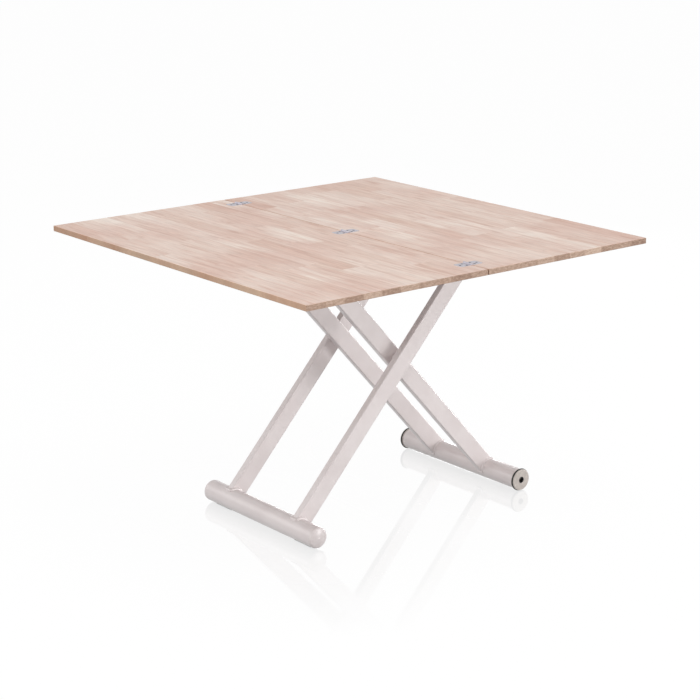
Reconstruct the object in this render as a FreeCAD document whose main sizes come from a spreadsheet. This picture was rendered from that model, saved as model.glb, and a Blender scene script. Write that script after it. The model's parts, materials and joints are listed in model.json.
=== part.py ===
import FreeCAD, Part
import os
import Sketcher

# Convertible table: two wooden leaves on a swivel, over a scissor lift of crossed tube legs.
# Frame: origin on the floor under the middle of the open top, +X from the folding leaf to the
# fixed leaf, +Y along the seam, +Z up. The table stands open at dining height.

# Driving sizes, in millimetres and degrees
SIZES = {
    # Wooden top
    "leaf_width": 557,
    "leaf_length": 1100,
    "leaf_thickness": 15,
    "leaf_edge_radius": 1.5,
    "seam_gap": 1.6,
    # Hinges across the seam
    "hinge_inset": 73,
    "hinge_reach": 37,
    "hinge_width": 33,
    "hinge_thickness": 2,
    "hinge_corner": 8,
    "hinge_recess_clearance": 0.15,
    "barrel_radius": 3.2,
    "barrel_clearance": 0.4,
    "barrel_lift": 0.5,
    "knuckle_gap": 0.3,
    "hinge_pin_radius": 1.5,
    "hinge_screw_near": 13,
    "hinge_screw_far": 27,
    "hinge_screw_offset": 9,
    "hinge_screw_head_radius": 3.4,
    "hinge_screw_radius": 1.8,
    "hinge_screw_length": 11,
    # Scissor legs
    "dining_angle": 47.65,
    "coffee_angle": 19.65,
    "lower_arm": 527,
    "upper_arm": 374.8,
    "crossing_x": 76,
    "leg_width": 50,
    "leg_depth": 20,
    "leg_wall": 2,
    "leg_corner": 3,
    "leg_eye_length": 20,
    "inner_half_width": 111.9,
    "cope_slack": 1.2,
    "weld_gap": 0.05,
    # Foot tube and its caps
    "foot_diameter": 57,
    "foot_length": 458,
    "tube_wall": 2,
    "cap_height": 10,
    "cap_round": 7,
    "cap_plug_length": 18,
    "foot_pad_rise": 3,
    "foot_pad_wrap": 0.4,
    "foot_pad_width": 10,
    "foot_pad_length": 70,
    "foot_pad_inset": 20,
    # Roller tube and its wheels
    "roller_tube_diameter": 57,
    "roller_tube_length": 462,
    "wheel_diameter": 63,
    "wheel_thickness": 9.5,
    "wheel_rim_step": 1.6,
    "wheel_side_gap": 0.5,
    "wheel_edge_round": 2,
    "tyre_section_radius": 3.2,
    "tyre_inset": 4,
    "wheel_recess_radius": 8,
    "wheel_recess_depth": 5.5,
    "wheel_screw_radius": 4,
    "wheel_screw_head_radius": 7,
    "wheel_screw_head_height": 2.5,
    "tube_plug_length": 24,
    # Rails and the rollers in them
    "rail_width": 20,
    "rail_height": 40,
    "rail_wall": 2.5,
    "rail_side_gap": 0.85,
    "rail_left_margin": 27,
    "rail_right_margin": 24,
    "rail_cap_thickness": 3,
    "rail_cap_plug": 5,
    "rail_roller_width": 13,
    "rail_roller_clearance": 0.5,
    "rail_roller_side_gap": 1.2,
    "rail_axle_radius": 5,
    "rail_axle_collar_radius": 7.5,
    "rail_axle_collar_width": 1.2,
    # Cross members and glides
    "cross_width": 30,
    "cross_height": 14,
    "cross_reach": 200,
    "cross_inset": 32,
    "mid_bar_gap": 38.4,
    "leg_top_clearance": 1.2,
    "glide_radius": 9,
    "glide_gap": 0.3,
    "glide_edge_offset": 14,
    # Swivel
    "swivel_rail_gap": 5.15,
    "bridge_thickness": 8,
    "bridge_margin": 14,
    "slip_thickness": 4,
    "slip_radius": 60,
    "disc_thickness": 8,
    "disc_radius": 75,
    "stud_radius": 6,
    "swivel_screw_circle": 62,
    "swivel_screw_radius": 2,
    "swivel_screw_head_radius": 4,
    "swivel_screw_bite": 10,
    # Pivot bolts
    "pivot_radius": 6,
    "bush_radius": 9,
    "spacer_radius": 14,
    "crossing_spacer_radius": 9,
    "insert_radius": 12,
    "bolt_head_radius": 10,
    "bolt_head_height": 4,
    "nut_height": 8,
    "washer_thickness": 2,
    "running_clearance": 0.05,
    "seat_clearance": 0.02,
    "side_play": 0.3,
    # Cross tubes between the legs
    "cross_tube_radius": 7,
    "outer_tube_drop": 115,
    "inner_tube_drop": 95,
    # Gas spring
    "spring_anchor_drop": 5,
    "spring_body_radius": 11,
    "spring_body_wall": 1.6,
    "spring_body_length": 132,
    "spring_neck_length": 18,
    "spring_neck_radius": 5.5,
    "spring_end_thickness": 8,
    "spring_rod_radius": 5,
    "spring_stroke_reserve": 6,
    "spring_piston_length": 8,
    "spring_eye_radius": 10,
    "spring_eye_width": 12,
    "spring_pin_radius": 4,
    "spring_open_clearance": 4.2,
    "spring_open_eye_wall": 4.5,
    "spring_collar_width": 6,
    "bracket_thickness": 4,
    "bracket_margin": 6,
    # Release lever
    "lever_length": 92,
    "lever_tail": 14,
    "lever_width": 18,
    "lever_thickness": 5,
    "lever_pin_radius": 3,
    "lever_pin_lift": 2,
    "grip_length": 46,
    "grip_wall": 3,
}

doc = FreeCAD.newDocument("convertible_table")
sheet = doc.addObject("Spreadsheet::Sheet", "Sizes")
for row, (alias, value) in enumerate(SIZES.items(), start=1):
    sheet.set(f"A{row}", alias)
    sheet.set(f"B{row}", str(value))
    sheet.setAlias(f"B{row}", alias)
doc.recompute()


class Formula:
    """A length or angle worked out from the sheet, kept as the text of an expression."""

    def __init__(self, text):
        self.text = str(text)

    def __str__(self):
        return self.text

    def __add__(self, other):
        return Formula(f"({self} + {other})")

    def __radd__(self, other):
        return Formula(f"({other} + {self})")

    def __sub__(self, other):
        return Formula(f"({self} - {other})")

    def __rsub__(self, other):
        return Formula(f"({other} - {self})")

    def __mul__(self, other):
        return Formula(f"({self} * {other})")

    __rmul__ = __mul__

    def __truediv__(self, other):
        return Formula(f"({self} / {other})")

    def __neg__(self):
        return Formula(f"(0 - {self})")


def size(alias):
    return Formula(f"Sizes.{alias}")


def sine(angle):
    return Formula(f"sin({angle})")


def cosine(angle):
    return Formula(f"cos({angle})")


def number(formula):
    return float(sheet.evalExpression(str(formula)))


ZERO = Formula(0)

# Levels and places that several pieces share
sin_dining = sine(size("dining_angle"))
cos_dining = cosine(size("dining_angle"))
sin_coffee = sine(size("coffee_angle"))
cos_coffee = cosine(size("coffee_angle"))
foot_radius = size("foot_diameter") / 2
wheel_radius = size("wheel_diameter") / 2
crossing_x = size("crossing_x")
foot_z = foot_radius + size("foot_pad_rise")
crossing_z = foot_z + size("lower_arm") * sin_dining
pin_z = crossing_z + size("upper_arm") * sin_dining
foot_x = crossing_x - size("lower_arm") * cos_dining
inner_lower_arm = (crossing_z - wheel_radius) / sin_dining
roller_x = crossing_x + inner_lower_arm * cos_dining
hinge_x = crossing_x + size("upper_arm") * cos_dining
slider_x = crossing_x - size("upper_arm") * cos_dining
slider_low_x = hinge_x - 2 * size("upper_arm") * cos_coffee
rail_top_z = pin_z + size("rail_height") / 2
leaf_bottom_z = rail_top_z + size("bridge_thickness") + size("slip_thickness") + size("disc_thickness")
leaf_top_z = leaf_bottom_z + size("leaf_thickness")
fold_axis_z = leaf_top_z + size("barrel_lift")
leaf_near_x = size("seam_gap") / 2
leaf_centre_x = leaf_near_x + size("leaf_width") / 2
inner_leg_outside = size("inner_half_width")
inner_leg_inside = inner_leg_outside - size("leg_depth")
rail_inside = inner_leg_outside + size("rail_side_gap")
rail_outside = rail_inside + size("rail_width")
web_inside = rail_outside - size("rail_wall")
# A quarter turn about this point brings the folded top back over the middle of the legs
swivel_y = -(rail_outside + size("swivel_rail_gap") + size("spacer_radius"))
swivel_x = leaf_centre_x + swivel_y
outer_leg_inside = rail_outside + size("rail_side_gap")
outer_leg_outside = outer_leg_inside + size("leg_depth")
rail_left_x = slider_low_x - size("rail_left_margin")
rail_right_x = hinge_x + size("rail_right_margin")
pivot_hole = size("pivot_radius") + size("seat_clearance")
leg_top_reach = size("leg_width") / 2 / cos_coffee
leg_rise = leg_top_reach - size("rail_height") / 2 + size("leg_top_clearance")

FRONT = -1
REAR = 1
SIDES = {"front": FRONT, "rear": REAR}
FIXED = 1
FOLDING = -1
SAME_PLACE = 1e-4
TURNED = {
    "x": FreeCAD.Rotation(FreeCAD.Vector(0, 1, 0), 90),
    "y": FreeCAD.Rotation(FreeCAD.Vector(1, 0, 0), -90),
    "z": FreeCAD.Rotation(),
}
subparts = []


def bind(thing, **values):
    for name, value in values.items():
        thing.setExpression(name, str(value))
    return thing


def put(thing, x, y, z):
    for axis, value in zip("xyz", (x, y, z)):
        thing.setExpression(f"Placement.Base.{axis}", str(value))
    return thing


def tilt(thing, axis, angle, x, y, z):
    start = FreeCAD.Rotation(FreeCAD.Vector(*axis), number(angle))
    thing.Placement = FreeCAD.Placement(FreeCAD.Vector(), start)
    thing.setExpression("Placement.Rotation.Angle", str(angle))
    return put(thing, x, y, z)


def add(kind, name):
    return doc.addObject(kind, name)


def block(name, low, lengths):
    piece = add("Part::Box", name)
    bind(piece, Length=lengths[0], Width=lengths[1], Height=lengths[2])
    return put(piece, *low)


def rod(name, radius, length, start, along="y"):
    piece = add("Part::Cylinder", name)
    piece.Placement = FreeCAD.Placement(FreeCAD.Vector(), TURNED[along])
    bind(piece, Radius=radius, Height=length)
    return put(piece, *start)


def cone(name, low_radius, high_radius, height, start):
    piece = add("Part::Cone", name)
    bind(piece, Radius1=low_radius, Radius2=high_radius, Height=height)
    return put(piece, *start)


def hexagon(name, radius, height, start, along="z"):
    piece = add("Part::Prism", name)
    piece.Polygon = 6
    piece.Placement = FreeCAD.Placement(FreeCAD.Vector(), TURNED[along])
    bind(piece, Circumradius=radius, Height=height)
    return put(piece, *start)


def fuse(name, pieces):
    joined = add("Part::MultiFuse", name)
    joined.Shapes = pieces
    return joined


def cut(name, base, tools):
    result = add("Part::Cut", name)
    result.Base = base
    result.Tool = tools[0] if len(tools) == 1 else fuse(name + "_tools", tools)
    return result


def ring(name, outer, inner, length, start, along="y"):
    bore = rod(name + "_bore", inner, length, start, along)
    return cut(name, rod(name + "_outside", outer, length, start, along), [bore])


def group(name, pieces):
    gathered = add("Part::Compound", name)
    gathered.Links = pieces
    return gathered


def subpart(thing, label):
    thing.Label = label
    subparts.append(thing)
    return thing


def low_y(side, near, far):
    """Lower y of a stretch that runs from near to far, on the front or the rear."""
    return near if side == REAR else -far


def arch(start, end, centre_x):
    """An arc between two corners of an outline, about a centre at this distance from the axis."""
    start_reach = start.x - centre_x
    end_reach = end.x - centre_x
    spare = end_reach ** 2 + end.y ** 2 - start_reach ** 2 - start.y ** 2
    centre = FreeCAD.Vector(centre_x, spare / (2 * (end.y - start.y)), 0)
    half_way = ((start - centre).normalize() + (end - centre).normalize()).normalize()
    return Part.Arc(start, centre + half_way * (start - centre).Length, end)


def outline_sketch(body, name, role, points, arches=None):
    """A closed outline whose corners are each held from the origin by a bound distance.

    An edge whose number is in arches is an arc, with its centre that far from the vertical axis.
    """
    arches = arches or {}
    sketch = body.newObject("Sketcher::SketchObject", name)
    plane = [feature for feature in body.Origin.OriginFeatures if feature.Role == role][0]
    sketch.AttachmentSupport = [(plane, "")]
    sketch.MapMode = "FlatFace"
    corners = [FreeCAD.Vector(number(h), number(v), 0) for h, v in points]
    count = len(corners)
    for index in range(count):
        start = corners[index]
        end = corners[(index + 1) % count]
        if index in arches:
            sketch.addGeometry(arch(start, end, number(arches[index])), False)
        else:
            sketch.addGeometry(Part.LineSegment(start, end), False)
    for index in range(count):
        sketch.addConstraint(Sketcher.Constraint("Coincident", index, 2, (index + 1) % count, 1))
    for index, centre_x in arches.items():
        made = sketch.addConstraint(Sketcher.Constraint("DistanceX", -1, 1, index, 3, number(centre_x)))
        sketch.setExpression(f"Constraints[{made}]", str(centre_x))
    for index, point in enumerate(points):
        for kind, value, place in zip(("DistanceX", "DistanceY"), point, corners[index]):
            made = sketch.addConstraint(Sketcher.Constraint(kind, -1, 1, index, 1, place))
            sketch.setExpression(f"Constraints[{made}]", str(value))
    return sketch


def padded(name, role, points, length):
    body = add("PartDesign::Body", name)
    pad = body.newObject("PartDesign::Pad", name + "_pad")
    pad.Profile = outline_sketch(body, name + "_outline", role, points)
    bind(pad, Length=length)
    body.Tip = pad
    doc.recompute()
    return body


def turned(name, points, arches=None):
    """A body turned about the Y axis, from an outline of radius and place along Y."""
    body = add("PartDesign::Body", name)
    turn = body.newObject("PartDesign::Revolution", name + "_turn")
    turn.Profile = outline_sketch(body, name + "_outline", "XY_Plane", points, arches)
    turn.ReferenceAxis = (turn.Profile[0], ["V_Axis"])
    turn.Angle = 360
    body.Tip = turn
    doc.recompute()
    return body


def rounded(body, radius, wanted):
    """Round the edges of a body's last feature that the test picks out."""
    base = body.Tip
    edges = enumerate(base.Shape.Edges, start=1)
    names = [f"Edge{index}" for index, edge in edges if wanted(edge)]
    fillet = body.newObject("PartDesign::Fillet", body.Name + "_round")
    fillet.Base = (base, names)
    bind(fillet, Radius=radius)
    body.Tip = fillet
    return body


# Wooden leaves and their hinges

hinge_spread = size("leaf_length") / 2 - size("hinge_inset")
hinge_places = {"front": -hinge_spread, "mid": ZERO, "rear": hinge_spread}
hinge_half = size("hinge_width") / 2
knuckle_half = size("hinge_width") / 6
screw_places = (
    (size("hinge_screw_near"), -size("hinge_screw_offset")),
    (size("hinge_screw_near"), size("hinge_screw_offset")),
    (size("hinge_screw_far"), ZERO),
)


def low_x(half, near, far):
    """Lower x of a stretch that runs from near to far, on the fixed or the folding side."""
    return near if half == FIXED else -far


def hinge_outline(name, half, y, grow):
    """A plate with two rounded corners, grown all round for its recess in the wood."""
    corner = size("hinge_corner")
    far = size("hinge_reach") + grow
    wide = hinge_half + grow
    low_z = leaf_top_z - size("hinge_thickness")
    thick = size("hinge_thickness")
    inner = far - corner
    full = block(name + "_full", (low_x(half, 0, inner), y - wide, low_z), (inner, 2 * wide, thick))
    slim_start = (low_x(half, 0, far), y - wide + corner, low_z)
    slim = block(name + "_slim", slim_start, (far, 2 * (wide - corner), thick))
    parts = [full, slim]
    for turn in (FRONT, REAR):
        centre = (half * inner, y + turn * (wide - corner), low_z)
        parts.append(rod(f"{name}_corner{len(parts)}", corner, thick, centre, "z"))
    return fuse(name, parts)


def barrel(name, radius, y_low, y_high):
    return rod(name, radius, y_high - y_low, (0, y_low, fold_axis_z))


def hinge_screw(name, x, y):
    head = size("hinge_screw_head_radius")
    shank = size("hinge_screw_radius")
    depth = size("hinge_thickness") - size("hinge_recess_clearance")
    taper = cone(name + "_head", shank, head, depth, (x, y, leaf_top_z - depth))
    long = size("hinge_screw_length")
    return fuse(name, [taper, rod(name + "_shank", shank, long, (x, y, leaf_top_z - long), "z")])


def hinge_screw_hole(name, x, y):
    room = size("running_clearance")
    head = size("hinge_screw_head_radius") + room
    shank = size("hinge_screw_radius") + room
    thick = size("hinge_thickness")
    depth = thick - size("hinge_recess_clearance")
    taper = cone(name + "_sink", shank, head, depth, (x, y, leaf_top_z - depth))
    return fuse(name, [taper, rod(name + "_way", shank, thick, (x, y, leaf_top_z - thick), "z")])


def hinge_plate(name, half, y):
    """One half of a hinge: a flush plate with its knuckles on the fold axis."""
    outer_room = size("barrel_radius") + size("barrel_clearance")
    gap = size("knuckle_gap") / 2
    middle = (y - knuckle_half, y + knuckle_half)
    front = (y - hinge_half, y - knuckle_half)
    rear = (y + knuckle_half, y + hinge_half)
    if half == FIXED:
        own = [(front[0], front[1] - gap), (rear[0] + gap, rear[1])]
        other = [(middle[0] - gap, middle[1] + gap)]
    else:
        own = [(middle[0] + gap, middle[1] - gap)]
        room = size("hinge_recess_clearance")
        other = [(front[0] - room, front[1] + gap), (rear[0] - gap, rear[1] + room)]
    plate = hinge_outline(name + "_plate", half, y, ZERO)
    room_cuts = [barrel(f"{name}_room{i}", outer_room, *stretch) for i, stretch in enumerate(other)]
    knuckles = [barrel(f"{name}_knuckle{i}", size("barrel_radius"), *s) for i, s in enumerate(own)]
    solid = fuse(name + "_solid", [cut(name + "_cleared", plate, room_cuts)] + knuckles)
    fit = size("seat_clearance") if half == FIXED else size("running_clearance")
    bore = barrel(name + "_bore", size("hinge_pin_radius") + fit, y - hinge_half, y + hinge_half)
    holes = [hinge_screw_hole(f"{name}_hole{i}", half * x, y + offset)
             for i, (x, offset) in enumerate(screw_places)]
    return cut(name, solid, [bore] + holes)


swivel_screw_count = 6
swivel_screw_places = []
for step in range(swivel_screw_count):
    screw_angle = step * 360 / swivel_screw_count
    screw_x = swivel_x + size("swivel_screw_circle") * cosine(screw_angle)
    screw_y = swivel_y + size("swivel_screw_circle") * sine(screw_angle)
    swivel_screw_places.append((screw_x, screw_y))


def leaf(label, half):
    near = leaf_near_x
    far = leaf_near_x + size("leaf_width")
    side = size("leaf_length") / 2
    left = near if half == FIXED else -far
    right = far if half == FIXED else -near
    outline = [(left, -side), (right, -side), (right, side), (left, side)]
    board = padded(label + "_board", "XY_Plane", outline, size("leaf_thickness"))
    rounded(board, size("leaf_edge_radius"), lambda edge: True)
    put(board, 0, 0, leaf_bottom_z)
    tools = []
    room = size("hinge_recess_clearance")
    outer_room = size("barrel_radius") + size("barrel_clearance")
    hole = size("hinge_screw_radius") + size("running_clearance")
    for place, y in hinge_places.items():
        tools.append(hinge_outline(f"{label}_recess_{place}", half, y, room))
        wide = hinge_half + room
        tools.append(barrel(f"{label}_notch_{place}", outer_room, y - wide, y + wide))
        for index, (x, offset) in enumerate(screw_places):
            deep = size("hinge_screw_length") + room
            start = (half * x, y + offset, leaf_top_z - deep)
            tools.append(rod(f"{label}_pilot_{place}{index}", hole, deep, start, "z"))
    if half == FIXED:
        bite = size("swivel_screw_bite") + room
        pilot = size("swivel_screw_radius") + size("running_clearance")
        for index, (x, y) in enumerate(swivel_screw_places):
            tools.append(rod(f"{label}_swivel_pilot{index}", pilot, bite, (x, y, leaf_bottom_z), "z"))
    return subpart(cut(label + "_cut", board, tools), label)


for leaf_label, half in (("leaf_fixed", FIXED), ("leaf_folding", FOLDING)):
    leaf(leaf_label, half)
    word = leaf_label.removeprefix("leaf_")
    screws = []
    for place, y in hinge_places.items():
        plate_label = f"hinge_plate_{word}_{place}"
        subpart(hinge_plate(plate_label + "_body", half, y), plate_label)
        for index, (x, offset) in enumerate(screw_places):
            screws.append(hinge_screw(f"{word}_screw_{place}{index}", half * x, y + offset))
    subpart(group(f"hinge_screws_{word}_all", screws), f"hinge_screws_{word}")

pins = [barrel(f"pin_{place}", size("hinge_pin_radius"), y - hinge_half, y + hinge_half)
        for place, y in hinge_places.items()]
subpart(group("hinge_pins_all", pins), "hinge_pins")


# Swivel between the subframe and the fixed leaf

bridge_top_z = rail_top_z + size("bridge_thickness")
disc_low_z = bridge_top_z + size("slip_thickness")
washer_low_z = rail_top_z - size("washer_thickness")
nut_low_z = washer_low_z - size("nut_height")


def swivel_screw(name, x, y, grow):
    """A countersunk screw from under the disc into the wood, or the hole for it."""
    shank = size("swivel_screw_radius") + grow
    head = size("swivel_screw_head_radius") + grow
    sink = size("disc_thickness") / 2
    long = size("disc_thickness") + size("swivel_screw_bite")
    taper = cone(name + "_head", head, shank, sink, (x, y, disc_low_z))
    return fuse(name, [taper, rod(name + "_shank", shank, long, (x, y, disc_low_z), "z")])


stud_hole = size("stud_radius") + size("seat_clearance")
disc_start = (swivel_x, swivel_y, disc_low_z)
disc_cuts = [rod("disc_bore", stud_hole, size("disc_thickness"), disc_start, "z")]
swivel_screws = []
for index, (x, y) in enumerate(swivel_screw_places):
    disc_cuts.append(swivel_screw(f"disc_hole{index}", x, y, size("running_clearance")))
    swivel_screws.append(swivel_screw(f"swivel_screw{index}", x, y, ZERO))
disc_blank = rod("disc_blank", size("disc_radius"), size("disc_thickness"), disc_start, "z")
subpart(cut("disc_cut", disc_blank, disc_cuts), "swivel_disc")
subpart(group("swivel_screws_all", swivel_screws), "swivel_screws")

stud_low_z = nut_low_z - size("washer_thickness")
stud_length = leaf_bottom_z - stud_low_z
stud_start = (swivel_x, swivel_y, stud_low_z)
subpart(rod("stud", size("stud_radius"), stud_length, stud_start, "z"), "swivel_stud")
nut_start = (swivel_x, swivel_y, nut_low_z)
nut_blank = hexagon("swivel_nut_blank", size("bolt_head_radius"), size("nut_height"), nut_start)
nut_bore = rod("swivel_nut_bore", stud_hole, size("nut_height"), nut_start, "z")
subpart(cut("swivel_nut_cut", nut_blank, [nut_bore]), "swivel_nut")
washer_start = (swivel_x, swivel_y, washer_low_z)
washer_outside = size("spacer_radius")
subpart(ring("washer", washer_outside, stud_hole, size("washer_thickness"), washer_start, "z"),
        "swivel_washer")
slip_start = (swivel_x, swivel_y, bridge_top_z)
slip_hole = size("stud_radius") + 2 * size("running_clearance")
subpart(ring("slip", size("slip_radius"), slip_hole, size("slip_thickness"), slip_start, "z"),
        "swivel_slip_ring")

bridge_half = size("slip_radius") + size("bridge_margin")
bridge_low_y = swivel_y - bridge_half
bridge_blank = block("bridge_blank", (swivel_x - bridge_half, bridge_low_y, rail_top_z),
                     (2 * bridge_half, rail_outside - bridge_low_y, size("bridge_thickness")))
bridge_hole = rod("bridge_hole", size("stud_radius") + size("running_clearance"),
                  size("bridge_thickness"), (swivel_x, swivel_y, rail_top_z), "z")
subpart(cut("bridge_cut", bridge_blank, [bridge_hole]), "swivel_bridge")


# Subframe: rails, their end caps, cross members and glides

def rail(label, side):
    half_w = size("rail_width") / 2
    half_h = size("rail_height") / 2
    wall = size("rail_wall")
    out = side * half_w
    web = side * (half_w - wall)
    lip = -side * half_w
    outline = [(lip, -half_h), (out, -half_h), (out, half_h), (lip, half_h),
               (lip, half_h - wall), (web, half_h - wall), (web, wall - half_h), (lip, wall - half_h)]
    channel = padded(label + "_channel", "YZ_Plane", outline, rail_right_x - rail_left_x)
    middle = side * (rail_inside + half_w)
    put(channel, rail_left_x, middle, pin_z)
    hole_start = (hinge_x, low_y(side, web_inside, rail_outside), pin_z)
    hole = rod(label + "_pivot_hole", pivot_hole, wall, hole_start)
    return subpart(cut(label + "_cut", channel, [hole]), label)


def rail_cap(name, side, end_x, outward):
    thick = size("rail_cap_thickness")
    plug = size("rail_cap_plug")
    room = size("running_clearance")
    plate_low = (end_x if outward > 0 else end_x - thick)
    y_low = low_y(side, rail_inside, rail_outside)
    half_h = size("rail_height") / 2
    plate = block(name + "_plate", (plate_low, y_low, pin_z - half_h),
                  (thick, size("rail_width"), size("rail_height")))
    plug_low = (end_x - plug if outward > 0 else end_x)
    inside = half_h - size("rail_wall") - room
    plug_y = low_y(side, rail_inside, web_inside - room)
    deep = web_inside - room - rail_inside
    body = block(name + "_plug", (plug_low, plug_y, pin_z - inside), (plug, deep, 2 * inside))
    return fuse(name, [plate, body])


def cross_bar(name, x, reach, height):
    """A flat bar across both rails, or the passage cut under one."""
    start = (x - size("cross_width") / 2, -reach, rail_top_z)
    return block(name, start, (size("cross_width"), 2 * reach, height))


caps = []
for word, side in SIDES.items():
    rail(f"rail_{word}", side)
    caps.append(rail_cap(f"cap_{word}_left", side, rail_left_x, -1))
    caps.append(rail_cap(f"cap_{word}_right", side, rail_right_x, 1))
subpart(group("rail_caps_all", caps), "rail_end_caps")

left_bar_x = rail_left_x + size("cross_inset")
mid_bar_x = swivel_x - bridge_half - size("mid_bar_gap") - size("cross_width") / 2
cross_bars = {
    "left": (left_bar_x, size("cross_reach")),
    "mid": (mid_bar_x, size("cross_reach")),
    "right": (hinge_x, rail_outside),
}
glide_low_z = rail_top_z + size("cross_height")
glide_height = leaf_bottom_z - size("glide_gap") - glide_low_z
glides = []
for word, (bar_x, reach) in cross_bars.items():
    bar = cross_bar(f"cross_bar_{word}", bar_x, reach, size("cross_height"))
    if word == "left":
        # The tops of the inner legs pass under this bar at coffee height
        bar = cut("cross_bar_raised", bar, [cross_bar("leg_passage", bar_x, rail_inside, leg_rise)])
    subpart(bar, f"cross_member_{word}")
    for side in (FRONT, REAR):
        start = (bar_x, side * (reach - size("glide_edge_offset")), glide_low_z)
        glides.append(rod(f"glide{len(glides)}", size("glide_radius"), glide_height, start, "z"))
subpart(group("glides_all", glides), "glide_pads")


# Legs: rectangular tubes with a closed eye at the top and a coped foot

def leg(label, side, near, lower, upper_side, seat_radius, outer):
    """A leg along its own X axis, from the tube under it to the pin at its top."""
    width = size("leg_width")
    depth = size("leg_depth")
    wall = size("leg_wall")
    long = lower + size("upper_arm")
    y_low = low_y(side, near, near + depth)
    outline = [(y_low, -(width / 2)), (y_low + depth, -(width / 2)),
               (y_low + depth, width / 2), (y_low, width / 2)]
    shaft = padded(label + "_shaft", "YZ_Plane", outline, long)
    rounded(shaft, size("leg_corner"), lambda edge: edge.BoundBox.XLength > SAME_PLACE)
    eye = rod(label + "_eye", width / 2, depth, (long, y_low, 0))
    slack = size("cope_slack")
    cope_radius = seat_radius + slack + size("weld_gap")
    cope = rod(label + "_cope", cope_radius, depth, (0, y_low, upper_side * slack))
    hollow_end = long - width / 2 - size("leg_eye_length")
    hollow = block(label + "_hollow", (0, y_low + wall, wall - width / 2),
                   (hollow_end, depth - 2 * wall, width - 2 * wall))
    bush_hole = size("bush_radius") + size("seat_clearance")
    if outer:
        eye_hole = rod(label + "_eye_hole", bush_hole, depth, (long, y_low, 0))
        hole_y = low_y(side, near, near + wall)
        mid_hole = rod(label + "_pivot_hole", pivot_hole, wall, (lower, hole_y, 0))
    else:
        axle_hole = size("rail_axle_radius") + size("seat_clearance")
        eye_hole = rod(label + "_eye_hole", axle_hole, depth, (long, y_low, 0))
        hole_y = low_y(side, near + wall, near + depth)
        mid_hole = rod(label + "_pivot_hole", bush_hole, depth - wall, (lower, hole_y, 0))
    solid = fuse(label + "_solid", [shaft, eye])
    return subpart(cut(label + "_cut", solid, [cope, hollow, eye_hole, mid_hole]), label)


LEAN = (0, -1, 0)
outer_near = outer_leg_inside
inner_near = inner_leg_inside
inner_angle = 180 - size("dining_angle")
roller_tube_radius = size("roller_tube_diameter") / 2
for word, side in SIDES.items():
    outer = leg(f"outer_leg_{word}", side, outer_near, size("lower_arm"), 1, foot_radius, True)
    tilt(outer, LEAN, size("dining_angle"), foot_x, 0, foot_z)
    inner = leg(f"inner_leg_{word}", side, inner_near, inner_lower_arm, -1, roller_tube_radius, False)
    tilt(inner, LEAN, inner_angle, roller_x, 0, wheel_radius)


# Foot tube with domed caps, roller tube with wheels

def floor_tube(label, radius, length, x, z):
    start = (x, -(length / 2), z)
    return subpart(ring(label + "_tube", radius, radius - size("tube_wall"), length, start), label)


floor_tube("foot_tube", foot_radius, size("foot_length"), foot_x, foot_z)
floor_tube("roller_tube", roller_tube_radius, size("roller_tube_length"), roller_x, wheel_radius)


def rim_edge(radius, y):
    """A test that picks the circle of this radius at this place along Y."""
    def picks(edge):
        box = edge.BoundBox
        away = abs(box.YMin - y) + abs(box.YMax - y) + abs(box.XMax - radius)
        return away < SAME_PLACE
    return picks


def foot_cap(label, side):
    """A plug in the end of the tube, with a rounded rim that runs on into a shallow dome."""
    plug = foot_radius - size("tube_wall") - size("running_clearance")
    inward = -size("cap_plug_length")
    high = size("cap_height")
    rim_round = size("cap_round")
    rim_centre = foot_radius - rim_round
    # Half of the angle that the rim turns through is 45 degrees less the angle of this slope
    slope = (high - rim_round) / rim_centre
    square = slope * slope
    turn_x = rim_centre + rim_round * 2 * slope / (1 + square)
    turn_y = rim_round * (1 - square) / (1 + square)
    outline = [(ZERO, inward), (plug, inward), (plug, ZERO), (foot_radius, ZERO),
               (turn_x, turn_y), (ZERO, high)]
    cap = turned(label, outline, {3: rim_centre, 4: ZERO})
    facing = FreeCAD.Rotation(FreeCAD.Vector(0, 0, 1), 0 if side == REAR else 180)
    cap.Placement = FreeCAD.Placement(FreeCAD.Vector(), facing)
    return put(cap, foot_x, side * (size("foot_length") / 2), foot_z)


def foot_pad(label, side):
    """A rubber strip under the foot tube, hollowed to fit it."""
    width = size("foot_pad_width")
    far = size("foot_length") / 2 - size("foot_pad_inset")
    near = far - size("foot_pad_length")
    start_y = low_y(side, near, far)
    strip = block(label + "_strip", (foot_x - width / 2, start_y, 0),
                  (width, size("foot_pad_length"), size("foot_pad_rise") + size("foot_pad_wrap")))
    seat = rod(label + "_seat", foot_radius + size("seat_clearance"), size("foot_pad_length"),
               (foot_x, start_y, foot_z))
    return cut(label, strip, [seat])


wheel_start = size("roller_tube_length") / 2 + size("wheel_side_gap")
wheel_rim = wheel_radius - size("wheel_rim_step")
tyre_circle = wheel_radius - size("tyre_section_radius")
screw_low = size("roller_tube_length") / 2 - size("tube_plug_length")


def wheel_disc(label, side):
    thick = size("wheel_thickness")
    bore = size("wheel_screw_radius") + size("running_clearance")
    recess = size("wheel_recess_radius")
    floor = thick - size("wheel_recess_depth")
    outline = [(bore, ZERO), (wheel_rim, ZERO), (wheel_rim, side * thick),
               (recess, side * thick), (recess, side * floor), (bore, side * floor)]
    body = turned(label + "_body", outline)
    rounded(body, size("wheel_edge_round"), rim_edge(number(wheel_rim), side * number(thick)))
    put(body, roller_x, side * wheel_start, wheel_radius)
    groove = tyre_ring(label + "_groove", side, size("seat_clearance"))
    return subpart(cut(label + "_cut", body, [groove]), label)


def tyre_ring(name, side, grow):
    tyre = add("Part::Torus", name)
    tyre.Placement = FreeCAD.Placement(FreeCAD.Vector(), TURNED["y"])
    bind(tyre, Radius1=tyre_circle, Radius2=size("tyre_section_radius") + grow)
    return put(tyre, roller_x, side * (wheel_start + size("tyre_inset")), wheel_radius)


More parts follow.
